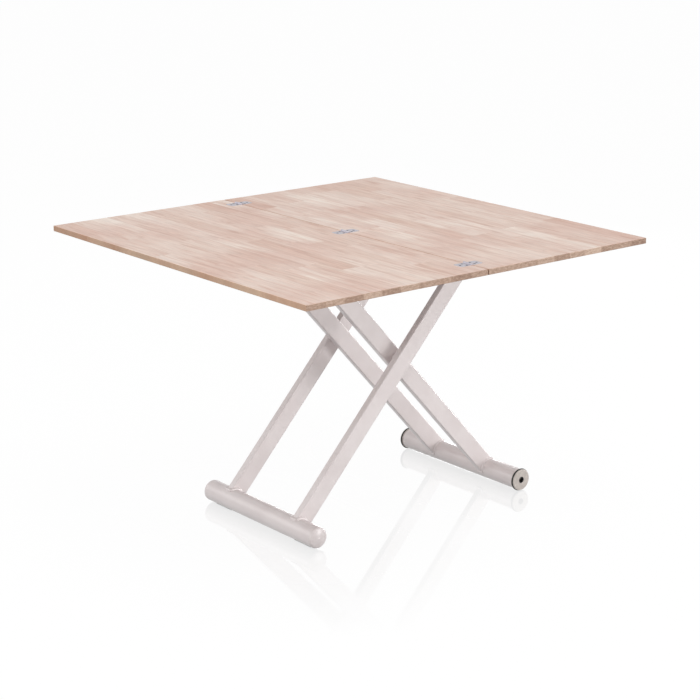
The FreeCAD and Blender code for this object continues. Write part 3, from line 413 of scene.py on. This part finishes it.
def moulded_plastic(name, pale, dark, rough, grain=MOULD_GRAIN, **values):
    """A moulded plastic: two close colours, and the fine grain of its mould."""
    material, tree, surface = new_finish(name, **values)
    place = node(tree, "TexCoord").outputs["Object"]
    flow = node(tree, "TexNoise", {"Vector": place, "Scale": 0.1 / grain, "Detail": 3.0})
    color = node(tree, "ValToRGB", {0: flow}, stops=((0.35, dark), (0.65, pale)))
    skin = node(tree, "TexNoise", {"Vector": place, "Scale": 1 / grain, "Detail": 2.0})
    gloss = node(tree, "MapRange", {"Value": skin, "To Min": rough - GLOSS_SPREAD,
                                    "To Max": rough + GLOSS_SPREAD})
    relief = node(tree, "Bump", {"Strength": 0.1, "Distance": 0.05 * MM, "Height": skin})
    fill(tree, surface, {"Base Color": color, "Roughness": gloss, "Normal": relief})
    return material


print("mould grain:", round(MOULD_GRAIN / MM, 1), "mm")

# %% [markdown]
# ## Bare metals
#
# The hinges are nickel plated and brushed, the bolts are bright zinc, the spring's rod is ground
# and chromed, and the hinge screws and wheel screws are black oxide. All are metals, which have
# no colour but their reflection's, so one function makes them: a tint, a roughness, and the
# direction in which scratches are drawn out.

# %% Metals
BRUSH_WIDTH = 0.8 * MM
BRUSH_LENGTH = 22 * MM
BRUSH_SPREAD = 0.08


def metal(name, pale, dark, rough, brushed_along="x"):
    """A bare metal, with brush marks along one axis."""
    material, tree, surface = new_finish(name, Metallic=1.0)
    place = node(tree, "TexCoord").outputs["Object"]
    stretch = {axis: 1 / BRUSH_WIDTH for axis in "xyz"}
    stretch[brushed_along] = 1 / BRUSH_LENGTH
    space = node(tree, "Mapping", {"Vector": place, "Scale": [stretch[axis] for axis in "xyz"]})
    brush = node(tree, "TexNoise", {"Vector": space, "Scale": 1.0, "Detail": 3.0, "Roughness": 0.6})
    color = node(tree, "ValToRGB", {0: brush}, stops=((0.3, dark), (0.7, pale)))
    gloss = node(tree, "MapRange", {"Value": brush, "To Min": rough - BRUSH_SPREAD,
                                    "To Max": rough + BRUSH_SPREAD})
    relief = node(tree, "Bump", {"Strength": 0.12, "Distance": 0.03 * MM, "Height": brush})
    fill(tree, surface, {"Base Color": color, "Roughness": gloss, "Normal": relief})
    return material


print("brush marks:", round(BRUSH_WIDTH / MM, 1), "by", round(BRUSH_LENGTH / MM), "mm")

# %% [markdown]
# ## Black paint
#
# The gas spring's barrel is stove enamelled in gloss black: a dark, slightly uneven base under a
# smooth clear coat, so that it shows a sharp highlight over a soft one.

# %% Black paint
PAINT_COLORS = ((0.3, "#17171A"), (0.7, "#202024"))


def black_paint():
    """The gloss black enamel of the gas spring."""
    material, tree, surface = new_finish("gloss_black_paint", Coat_Weight=0.6, Coat_Roughness=0.1)
    place = node(tree, "TexCoord").outputs["Object"]
    peel = node(tree, "TexNoise", {"Vector": place, "Scale": 1 / PEEL_SIZE, "Detail": 2.0})
    color = node(tree, "ValToRGB", {0: peel}, stops=PAINT_COLORS)
    gloss = node(tree, "MapRange", {"Value": peel, "To Min": 0.24, "To Max": 0.36})
    fill(tree, surface, {"Base Color": color, "Roughness": gloss})
    return material


print("paint tones:", [color for place, color in PAINT_COLORS])

# %% [markdown]
# ## Dressing the solid model
#
# The record names a material slot for every node. A table from slot to finish dresses each node
# that keeps its own shape, and later pieces look their finish up in the same table.

# %% Finishes by slot
FINISHES = {
    "wood": rubberwood(),
    "powder_coat": powder_coat(),
    "cap_plastic": moulded_plastic("gloss_cap_plastic", CAP_COLOR, CAP_SHADE, 0.22),
    "hinge_steel": metal("nickel_hinge_steel", "#D2CED4", "#97949F", 0.4, "y"),
    "black_steel": metal("black_oxide_steel", "#332F2C", "#211E1C", 0.42),
    "zinc_steel": metal("bright_zinc", "#C9CBCD", "#A9ABAD", 0.32, "x"),
    "spring_rod_steel": metal("chromed_rod", "#E2E3E6", "#D2D4D8", 0.14, "y"),
    "spring_black_paint": black_paint(),
    "wheel_plastic": moulded_plastic("satin_wheel_plastic", "#C3BAB3", "#B7AEA7", 0.4),
    "tyre_rubber": moulded_plastic("tyre_rubber", "#2A2A2A", "#1C1C1C", 0.72, 0.6 * MM),
    "nylon": moulded_plastic("natural_nylon", "#EEEAE1", "#E4DFD4", 0.42, Subsurface_Weight=0.08),
    "black_plastic": moulded_plastic("black_plastic", "#232325", "#1A1A1C", 0.5),
}
slot_of = {entry["node"]: entry["material_slot"] for entry in frame["record"]["subparts"]}
body_of = {name: body for body, names in frame["record"]["behaviour"]["bodies"].items() for name in names}
for name, thing in frame["nodes"].items():
    thing.material_slots[0].material = FINISHES[slot_of[name]]
print("finishes:", len(FINISHES))

# %% [markdown]
# ## Turned hardware
#
# Screws and bolts are turned: round about an axis, with a radius that changes in steps. A disc
# that is extruded and scaled through those steps gives one closed shell with clean rings, and
# a driver's recess is the last disc inset to the recess's outline and pushed in. What has a hole
# through it, such as an eye or a sleeve, is a ring: its section, spun a full turn.

# %% Turned pieces and rings
ROUND = 48


def turned(bm, base, axis, steps):
    """A closed round shell through (distance, radius) steps along an axis, and its end face."""
    spin_to = Vector((0, 0, 1)).rotation_difference(Vector(axis)).to_matrix().to_4x4()
    start, radius = steps[0]
    disc = bmesh.ops.create_circle(bm, cap_ends=True, segments=ROUND, radius=radius,
                                   matrix=Matrix.Translation((0, 0, start)))
    verts = list(disc["verts"])
    rim = list({edge for vert in verts for edge in vert.link_edges})
    face = verts[0].link_faces[0]
    for (before, old), (after, new) in zip(steps, steps[1:]):
        face = bmesh.ops.extrude_discrete_faces(bm, faces=[face])["faces"][0]
        bmesh.ops.translate(bm, verts=face.verts, vec=(0, 0, after - before))
        bmesh.ops.scale(bm, verts=face.verts, vec=(new / old, new / old, 1))
        verts += face.verts
    bmesh.ops.edgeloop_fill(bm, edges=rim)
    bmesh.ops.transform(bm, verts=verts, matrix=Matrix.Translation(base) @ spin_to)
    return face


def ring(bm, centre, axis, profile):
    """A closed ring: a profile of (distance, radius) points, spun a full turn about an axis."""
    centre = Vector(centre)
    axis = Vector(axis)
    arm = axis.orthogonal().normalized()
    corners = [bm.verts.new(centre + axis * place + arm * radius) for place, radius in profile]
    sides = [bm.edges.new(pair) for pair in zip(corners, corners[1:] + corners[:1])]
    bmesh.ops.spin(bm, geom=corners + sides, cent=centre, axis=axis, angle=2 * math.pi,
                   steps=ROUND, use_merge=True)


print("turned pieces have", ROUND, "sides")

# %% [markdown]
# ## Driver recesses
#
# A recess is told by its outline, seen along the axis: a plus for a cross-head driver, a hexagon
# for a socket key. An outline is a function from an angle to a radius, so that one function can
# push any of them into the end of a turned piece.

# %% Driver recesses
RECESS_RIM = 0.1 * MM
RECESS_TAPER = 0.8


def cross_outline(reach, half_width):
    """Radius of a plus-shaped outline at an angle."""
    def radius(angle):
        off = abs((angle + math.pi / 4) % (math.pi / 2) - math.pi / 4)
        if reach * math.tan(off) <= half_width:
            return reach / math.cos(off)
        return half_width / math.sin(off)
    return radius


def hexagon_outline(flat):
    """Radius of a hexagon at an angle, from the distance of its flats."""
    def radius(angle):
        off = (angle + math.pi / 6) % (math.pi / 3) - math.pi / 6
        return flat / math.cos(off)
    return radius


def recess(bm, face, outline, depth):
    """Insets a round end face to the outline of a driver, and pushes it in."""
    face.normal_update()
    normal = face.normal.copy()
    centre = face.calc_center_median()
    first = (face.verts[0].co - centre).normalized()
    second = normal.cross(first)
    bmesh.ops.inset_individual(bm, faces=[face], thickness=RECESS_RIM, use_even_offset=False)
    for vert in face.verts:
        arm = vert.co - centre
        angle = math.atan2(arm.dot(second), arm.dot(first))
        vert.co = centre + arm.normalized() * outline(angle)
    bottom = bmesh.ops.extrude_discrete_faces(bm, faces=[face])["faces"][0]
    bmesh.ops.translate(bm, verts=bottom.verts, vec=-normal * depth)
    bmesh.ops.scale(bm, verts=bottom.verts, vec=(RECESS_TAPER, RECESS_TAPER, RECESS_TAPER),
                    space=Matrix.Translation(-(centre - normal * depth)))


print("recesses narrow to", RECESS_TAPER, "of their outline")

# %% [markdown]
# ## From mesh to piece
#
# Every remodelled piece ends the same way: its faces turn outwards, its round sides are shaded
# smooth and its edges stay sharp, it takes the finish of its slot, and it rides on the body that
# carries it. A piece that stands for nodes of the solid model hides them.

# %% From mesh to piece
SHARP_ANGLE = math.radians(35)


def piece_from(bm, name, body, slot, replaced=()):
    """Makes a finished object of a bmesh: it rides on a body and may stand for solid nodes."""
    bmesh.ops.recalc_face_normals(bm, faces=bm.faces)
    mesh = bpy.data.meshes.new(name)
    bm.to_mesh(mesh)
    bm.free()
    mesh.shade_smooth()
    mesh.set_sharp_from_angle(angle=SHARP_ANGLE)
    piece = bpy.data.objects.new(name, mesh)
    scene.collection.objects.link(piece)
    mesh.materials.append(FINISHES[slot])
    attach(piece, body)
    if replaced:
        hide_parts(*replaced)
    print(name, len(mesh.vertices), "vertices")


print("edges stay sharp from", round(math.degrees(SHARP_ANGLE)), "degrees")

# %% [markdown]
# ## Hinge screws
#
# Each hinge plate is held by countersunk screws of black oxide steel, which are dark specks at
# photograph size. Close up it is the cross recess that tells a screw from a rivet, so it is
# modelled rather than painted.

# %% Hinge screws
SCREW_NEAR = 13 * MM
SCREW_FAR = 27 * MM
SCREW_OFFSET = 9 * MM
SCREW_HEAD = 3.4 * MM
SCREW_SHANK = 1.8 * MM
SCREW_LENGTH = 11 * MM
HEAD_DEPTH = 1.85 * MM
CROSS_REACH = 2.1 * MM
CROSS_HALF = 0.55 * MM
CROSS_DEPTH = 1.2 * MM
SCREW_SPOTS = ((SCREW_NEAR, -SCREW_OFFSET), (SCREW_NEAR, SCREW_OFFSET), (SCREW_FAR, 0.0))
SCREW_STEPS = (
    (0.0, SCREW_SHANK),
    (SCREW_LENGTH - HEAD_DEPTH, SCREW_SHANK),
    (SCREW_LENGTH, SCREW_HEAD),
)
for leaf, side, body in (("fixed", 1, "top"), ("folding", -1, "flap")):
    bm = bmesh.new()
    screws_node = f"hinge_screws_{leaf}"
    screw_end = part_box(screws_node)[0].z
    for place in ("front", "mid", "rear"):
        plate_low, plate_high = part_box(f"hinge_plate_{leaf}_{place}")
        hinge_y = (plate_low.y + plate_high.y) / 2
        for reach, offset in SCREW_SPOTS:
            end = turned(bm, (side * reach, hinge_y + offset, screw_end), (0, 0, 1), SCREW_STEPS)
            recess(bm, end, cross_outline(CROSS_REACH, CROSS_HALF), CROSS_DEPTH)
    piece_from(bm, f"cross_head_screws_{leaf}", body, "black_steel", [screws_node])

# %% [markdown]
# ## Socket bolts
#
# The legs, the rail rollers and the wheels turn on bolts with a low domed head and a hexagon
# socket, in pairs, one at the front and one at the rear. A bolt is a turned piece whose last
# steps are the dome. The box of its node gives its place, its head's radius and its far end.

# %% A pair of bolts
SOCKET_SHARE = 0.5
SOCKET_DEPTH = 0.7
DOME = ((0.0, 1.0), (0.45, 1.0), (0.75, 0.93), (0.92, 0.8), (1.0, 0.62))


def bolt_pair(node_name, piece_name, outward, inner_end, shank, head_height, collar=()):
    """Replaces a pair of bolts whose heads face outwards or inwards, with a collar at the tail."""
    low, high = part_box(node_name)
    head = (high.x - low.x) / 2
    middle = (low + high) / 2
    neck = high.y - inner_end - head_height
    tail = collar[-1][0] if collar else 0.0
    steps = [*collar, (tail, shank), (neck, shank)]
    steps += [(neck + head_height * rise, head * share) for rise, share in DOME]
    bm = bmesh.new()
    for rear in (-1, 1):
        start = (middle.x, rear * (inner_end if outward else high.y), middle.z)
        end = turned(bm, start, (0, rear if outward else -rear, 0), steps)
        recess(bm, end, hexagon_outline(head * SOCKET_SHARE), head_height * SOCKET_DEPTH)
    piece_from(bm, piece_name, body_of[node_name], slot_of[node_name], [node_name])


print("a bolt's dome has", len(DOME), "steps")

# %% [markdown]
# ## Bolts in place
#
# A hinge bolt ends flush with its nut, a roller's axle runs from a collar outside the roller to
# its head inside the leg, and a wheel's screw ends with its plug in the roller tube. Where they
# end is read from the boxes of these neighbours, so that the bolts follow the solid model.

# %% Bolts in place
PIVOT_RADIUS = 6 * MM
AXLE_RADIUS = 5 * MM
WHEEL_SCREW_RADIUS = 4 * MM
BOLT_HEAD_HEIGHT = 4 * MM
WHEEL_HEAD_HEIGHT = 2.5 * MM
NUT_HEIGHT = 8 * MM
PLUG_LENGTH = 24 * MM
AXLE_COLLAR = ((0.0, 7.5 * MM), (1.2 * MM, 7.5 * MM))

nut_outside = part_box("outer_hinge_nuts")[1].y
leg_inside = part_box("inner_leg_rear")[0].y
tube_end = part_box("roller_tube")[1].y
bolt_pair("outer_hinge_bolts", "socket_hinge_bolts", True, nut_outside - NUT_HEIGHT, PIVOT_RADIUS,
          BOLT_HEAD_HEIGHT)
bolt_pair("rail_roller_axles", "socket_roller_axles", False, leg_inside - BOLT_HEAD_HEIGHT, AXLE_RADIUS,
          BOLT_HEAD_HEIGHT, AXLE_COLLAR)
bolt_pair("wheel_screws", "socket_wheel_screws", True, tube_end - PLUG_LENGTH, WHEEL_SCREW_RADIUS,
          WHEEL_HEAD_HEIGHT)

# %% [markdown]
# ## Wheel cups, as painted shade
#
# A black cup lines the recess in each wheel, as painted shade: it stands in for the shadow in
# the hole, and its lip makes the dark spot a little wider than the recess. It is a thin sleeve
# with a narrow lip on the wheel's face: a small angle section, spun a full turn about the wheel's
# axle.

# %% Wheel cups
CUP_RADIUS = 7.95 * MM
CUP_WALL = 0.75 * MM
CUP_DEPTH = 5.3 * MM
LIP_RADIUS = 9.0 * MM
LIP_HEIGHT = 0.3 * MM
LIP_GAP = 0.02 * MM
CUP_PROFILE = (
    (-LIP_HEIGHT, LIP_RADIUS), (-LIP_HEIGHT, CUP_RADIUS - CUP_WALL),
    (CUP_DEPTH, CUP_RADIUS - CUP_WALL), (CUP_DEPTH, CUP_RADIUS),
    (-LIP_GAP, CUP_RADIUS), (-LIP_GAP, LIP_RADIUS),
)
# Painted shade: a black cup and lip that darken each wheel's hole
for place, inward in (("front", 1), ("rear", -1)):
    low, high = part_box(f"wheel_disc_{place}")
    middle = (low + high) / 2
    outside = low.y if place == "front" else high.y
    bm = bmesh.new()
    ring(bm, (middle.x, outside, middle.z), (0, inward, 0), CUP_PROFILE)
    piece_from(bm, f"wheel_shade_cup_{place}", f"wheel_{place}", "black_plastic")

# %% [markdown]
# ## Gas spring
#
# A gas spring's barrel is drawn tube: its shoulders are spun round and a crimped groove holds
# the guide in. It is hollow, so that the rod can slide in it, and a turned piece can be hollow
# too: after the last outside step, the steps go back down the inside. The eye is a ring.

# %% Gas spring
SPRING_STEPS_MM = (
    (7.0, 5.5), (18.0, 5.5), (18.1, 8.6), (18.5, 9.8), (19.6, 10.7), (21.5, 11.0),
    (128.0, 11.0), (129.0, 10.3), (131.5, 10.3), (132.5, 11.0),
    (146.5, 11.0), (148.6, 10.4), (149.7, 9.2), (150.0, 8.0),
    (149.9, 5.05), (142.0, 5.05), (141.9, 9.4), (26.0, 9.4),
)
EYE_PROFILE_MM = ((-6.0, 4.05), (-6.0, 9.2), (-5.2, 10.0), (5.2, 10.0), (6.0, 9.2), (6.0, 4.05))
joint_of = {joint["name"]: joint for joint in frame["joints"]}
spring_anchor = Vector(joint_of["spring_swing"]["pos_m"])
spring_axis = Vector(joint_of["spring_slide"]["axis"])
bm = bmesh.new()
turned(bm, spring_anchor, spring_axis, [(place * MM, radius * MM) for place, radius in SPRING_STEPS_MM])
ring(bm, spring_anchor, (0, 1, 0), [(place * MM, radius * MM) for place, radius in EYE_PROFILE_MM])
piece_from(bm, "gas_spring_barrel", "gas_body", "spring_black_paint", ["gas_spring_cylinder"])

# %% [markdown]
# ## Grip ribs
#
# The release lever's grip is moulded with a few ribs above and below, where the fingers pull.
# Each rib is a turned bar with rounded ends, sunk half its depth in the grip.

# %% Grip ribs
RIB_RADIUS = 1.0 * MM
RIB_PITCH = 6 * MM
RIB_COUNT = 5
RIB_HALF = 8 * MM
RIB_STEPS = (
    (-RIB_HALF, RIB_RADIUS * 0.3), (-RIB_HALF + RIB_RADIUS * 0.3, RIB_RADIUS * 0.8),
    (-RIB_HALF + RIB_RADIUS, RIB_RADIUS), (RIB_HALF - RIB_RADIUS, RIB_RADIUS),
    (RIB_HALF - RIB_RADIUS * 0.3, RIB_RADIUS * 0.8), (RIB_HALF, RIB_RADIUS * 0.3),
)
grip_low, grip_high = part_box("lever_grip")
grip_middle = (grip_low + grip_high) / 2
bm = bmesh.new()
for index in range(RIB_COUNT):
    rib_x = grip_middle.x + (index - (RIB_COUNT - 1) / 2) * RIB_PITCH
    for rib_z in (grip_low.z, grip_high.z):
        turned(bm, (rib_x, grip_middle.y, rib_z), (0, 1, 0), RIB_STEPS)
piece_from(bm, "grip_ribs", "lever", "black_plastic")

# %% [markdown]
# ## Weld beads
#
# The legs are coped to fit the round tubes and welded all round before the frame is coated. A
# bead is a round section swept round the tube, so each is a small circle spun about the tube's
# axis, once at each side of the leg, closed by straight runs at the leg's edges.

# %% Weld beads
BEAD_SEGMENTS = 12
BEAD_STEPS = 28
BEAD_TIP = 0.6
BEAD_SLOPE = 0.4


def bead_arc(bm, bead, tube_x, tube_z, y, radius, start, sweep):
    """A round bead at one side of a leg, swept about the tube's axis."""
    spot = Matrix.Translation((tube_x, y, tube_z)) @ Matrix.Rotation(start, 4, "Y")
    circle = bmesh.ops.create_circle(
        bm, segments=BEAD_SEGMENTS, radius=bead,
        matrix=spot @ Matrix.Translation((radius, 0, 0)))
    rim = list({edge for vert in circle["verts"] for edge in vert.link_edges})
    swept = bmesh.ops.spin(bm, geom=circle["verts"] + rim, cent=(tube_x, y, tube_z), axis=(0, 1, 0),
                           angle=sweep, steps=BEAD_STEPS)
    last = [item for item in swept["geom_last"] if isinstance(item, bmesh.types.BMEdge)]
    bmesh.ops.edgeloop_fill(bm, edges=rim)
    bmesh.ops.edgeloop_fill(bm, edges=last)


def bead_run(bm, bead, tube_x, tube_z, low_y, high_y, radius, angle):
    """A straight bead along the tube, at one edge of a leg."""
    spot = Matrix.Rotation(angle, 4, "Y") @ Vector((radius, 0, 0))
    length = high_y - low_y
    tip = bead * BEAD_TIP
    slope = bead * BEAD_SLOPE
    steps = ((0.0, tip), (slope, bead), (length - slope, bead), (length, tip))
    turned(bm, (tube_x + spot.x, low_y, tube_z + spot.z), (0, 1, 0), steps)


print("beads are swept in", BEAD_STEPS, "steps")

# %% [markdown]
# ## Welding the frames
#
# A leg leans from its tube towards the point where the legs cross, so that line gives the middle
# of its beads on the tube. The leg's width gives how far round the tube they reach. The beads
# at the foot tube are the heavier ones.

# %% Welding the frames
FOOT_BEAD = 5.0 * MM
ROLLER_BEAD = 3.2 * MM
LEG_WIDTH = 50 * MM


def weld(name, leg_node, tube_node, body, lean, bead):
    """All the beads between one leg and the tube under it; lean is the leg's angle from +X."""
    tube_low, tube_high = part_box(tube_node)
    leg_low, leg_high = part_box(leg_node)
    middle = (tube_low + tube_high) / 2
    radius = (tube_high.x - tube_low.x) / 2
    half = math.asin(min(1.0, LEG_WIDTH / 2 / radius))
    bm = bmesh.new()
    for y in (leg_low.y, leg_high.y):
        bead_arc(bm, bead, middle.x, middle.z, y, radius, -lean - half, 2 * half)
    for edge in (-half, half):
        bead_run(bm, bead, middle.x, middle.z, leg_low.y, leg_high.y, radius, -lean + edge)
    piece_from(bm, name, body, "powder_coat")


crossing = Vector(joint_of["scissor"]["pos_m"])
FRAMES = (
    ("outer_frame", "outer", "foot_tube", FOOT_BEAD),
    ("inner_frame", "inner", "roller_tube", ROLLER_BEAD),
)
for body, leg_word, tube_node, bead in FRAMES:
    tube_low, tube_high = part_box(tube_node)
    run = crossing - (tube_low + tube_high) / 2
    lean = math.atan2(run.z, run.x)
    for place in ("front", "rear"):
        weld(f"weld_{leg_word}_{place}", f"{leg_word}_leg_{place}", tube_node, body, lean, bead)

# %% [markdown]
# ## Studio floor
#
# The photograph is a cut-out on white, with hardly any shadow on the floor and a faint mirror
# image under the tubes. The floor is therefore a white sheet, just under the table. It belongs
# to the studio and not to the table, so it is declared as stage.

# %% Studio floor
FLOOR_HALF = 30.0
FLOOR_GAP = 0.2 * MM

bm = bmesh.new()
bmesh.ops.create_grid(bm, x_segments=1, y_segments=1, size=FLOOR_HALF)
floor_mesh = bpy.data.meshes.new("floor")
bm.to_mesh(floor_mesh)
bm.free()
floor = bpy.data.objects.new("floor", floor_mesh)
floor.location.z = cad_box[0].z - FLOOR_GAP
scene.collection.objects.link(floor)
floor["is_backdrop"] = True
print("floor at z =", round(floor.location.z, 5), "m")

# %% [markdown]
# ## Polished floor
#
# Seen by the camera, straight or in a reflection, the floor shines mostly by its own light, which
# keeps it white without more light on the table. For light that it throws back up it is a mid
# grey, so that the undersides stay in shade. A polish lies over both. As the camera sees it, the
# polish fades away from the two tubes that stand on the floor, as their mirror image does in the
# photograph.

# %% Rays and distances
def seen_rays(tree):
    """1 for rays that end in the picture, straight, mirrored or through glass, and 0 for others."""
    rays = node(tree, "LightPath").outputs
    mirrored = node(tree, "Math", {0: rays["Is Camera Ray"], 1: rays["Is Glossy Ray"]}, operation="MAXIMUM")
    return node(tree, "Math", {0: mirrored, 1: rays["Is Transmission Ray"]}, operation="MAXIMUM")


def distance_from(tree, place, tube_node):
    """The way over the floor to a tube that lies along Y, taken as a line."""
    tube_low, tube_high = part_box(tube_node)
    past_x = node(tree, "Math", {0: place["X"], 1: (tube_low.x + tube_high.x) / 2}, operation="SUBTRACT")
    aside = node(tree, "Math", {0: place["Y"]}, operation="ABSOLUTE")
    past_end = node(tree, "Math", {0: aside, 1: tube_high.y}, operation="SUBTRACT")
    past_y = node(tree, "Math", {0: past_end, 1: 0.0}, operation="MAXIMUM")
    way = node(tree, "CombineXYZ", {"X": past_x, "Y": past_y})
    return node(tree, "VectorMath", {0: way}, operation="LENGTH").outputs["Value"]


tube_lengths = [2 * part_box(tube_node)[1].y for tube_node in ("foot_tube", "roller_tube")]
print("tubes on the floor:", [round(length, 3) for length in tube_lengths], "m long")

# %% Polished floor
FLOOR_GLOW = 0.96
FLOOR_GLOSS = 0.04
FLOOR_IOR = 1.75
MIRROR_REACH = 0.55
FLOOR_WHITE = "#FBFBFB"
FLOOR_BOUNCE = "#6A6A6A"

floor_finish, tree, surface = new_finish("polished_white_floor", Roughness=1.0, Specular_IOR_Level=0.0)
seen = seen_rays(tree)
shade = node(tree, "Mix", {"Factor": seen, "A": linear(FLOOR_BOUNCE), "B": linear(FLOOR_WHITE)},
             data_type="RGBA")
fill(tree, surface, {"Base Color": shade})
glow_share = node(tree, "Math", {0: seen, 1: FLOOR_GLOW}, operation="MULTIPLY")
glow = node(tree, "Emission", {"Strength": 1.0})
body_light = node(tree, "MixShader", {0: glow_share, 1: surface, 2: glow})

place = node(tree, "SeparateXYZ", {0: node(tree, "TexCoord").outputs["Object"]}).outputs
nearest = node(tree, "Math", {0: distance_from(tree, place, "foot_tube"),
                              1: distance_from(tree, place, "roller_tube")}, operation="MINIMUM")
fade = node(tree, "MapRange", {"Value": nearest, "From Max": MIRROR_REACH, "To Min": 1.0, "To Max": 0.0})
to_camera = node(tree, "LightPath").outputs["Is Camera Ray"]
polish = node(tree, "Mix", {"Factor": to_camera, "A": 1.0, "B": fade}, data_type="FLOAT")
fresnel = node(tree, "Fresnel", {"IOR": FLOOR_IOR})
mirror_share = node(tree, "Math", {0: fresnel, 1: polish}, operation="MULTIPLY")
mirror = node(tree, "BsdfAnisotropic", {"Color": linear(WHITE), "Roughness": FLOOR_GLOSS})
polished = node(tree, "MixShader", {0: mirror_share, 1: body_light, 2: mirror})
fill(tree, tree.nodes["Material Output"], {"Surface": polished})
floor_mesh.materials.append(floor_finish)
print("mirror image fades out", MIRROR_REACH, "m from the tubes")

# %% [markdown]
# ## White surroundings
#
# A white world is both backdrop and fill light. As backdrop it is full white, and as light it is
# weaker, so that the lamps can still give the tubes a light side and a dark one.

# %% White surroundings
WORLD_FILL = 0.66

world = bpy.data.worlds.new("white_studio")
world.use_nodes = True
scene.world = world
tree = world.node_tree
strength = node(tree, "MapRange", {"Value": seen_rays(tree), "To Min": WORLD_FILL, "To Max": 1.0})
fill(tree, tree.nodes["Background"], {"Color": linear(WHITE), "Strength": strength})
print("world's fill:", WORLD_FILL, "of white")

# %% [markdown]
# ## Lamps
#
# Product photographers work with softboxes: square, evenly bright panels. Two large ones stand
# left and right of the camera and one hangs overhead. Two small ones stand low on the right,
# where they put a glint on the caps and a rim of light on the legs without touching the top, and
# one behind on the left lights the tubes' upper sides. All look at the middle of the table.

# %% Lamps
LAMPS = {
    "left_softbox": (Vector((-3.3, -2.0, 1.6)), 2.0, 46.0),
    "right_softbox": (Vector((2.2, -3.6, 0.7)), 1.6, 54.0),
    "rim_softbox": (Vector((2.73, 2.6, 0.38)), 0.7, 16.0),
    "glint_softbox": (Vector((3.6, -0.85, 0.55)), 0.7, 44.0),
    "tube_softbox": (Vector((-2.6, 3.0, 1.7)), 2.0, 18.0),
    "top_softbox": (Vector((0.3, -1.0, 5.0)), 2.6, 50.0),
}
LIT_POINT = Vector((0.0, 0.0, 0.5))
for name, (lamp_place, width, power) in LAMPS.items():
    lamp_data = bpy.data.lights.new(name, "AREA")
    lamp_data.shape = "SQUARE"
    lamp_data.size = width
    lamp_data.energy = power
    lamp = bpy.data.objects.new(name, lamp_data)
    lamp.location = lamp_place
    lamp.rotation_mode = "QUATERNION"
    lamp.rotation_quaternion = (LIT_POINT - lamp_place).to_track_quat("-Z", "Y")
    scene.collection.objects.link(lamp)
    print(name, width, "m wide,", power, "W")
# Standard shows the colours as they were picked
scene.view_settings.view_transform = "Standard"

# %% [markdown]
# ## Sizes
#
# Finishes and small hardware must not change the table's size. The two boxes are written side
# by side so that they can be compared.

# %% Print the boxes and finish
boxes = {"cad": cad_box, "visual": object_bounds()}
for name, box in boxes.items():
    print(name, [[round(value, 4) for value in corner] for corner in box])
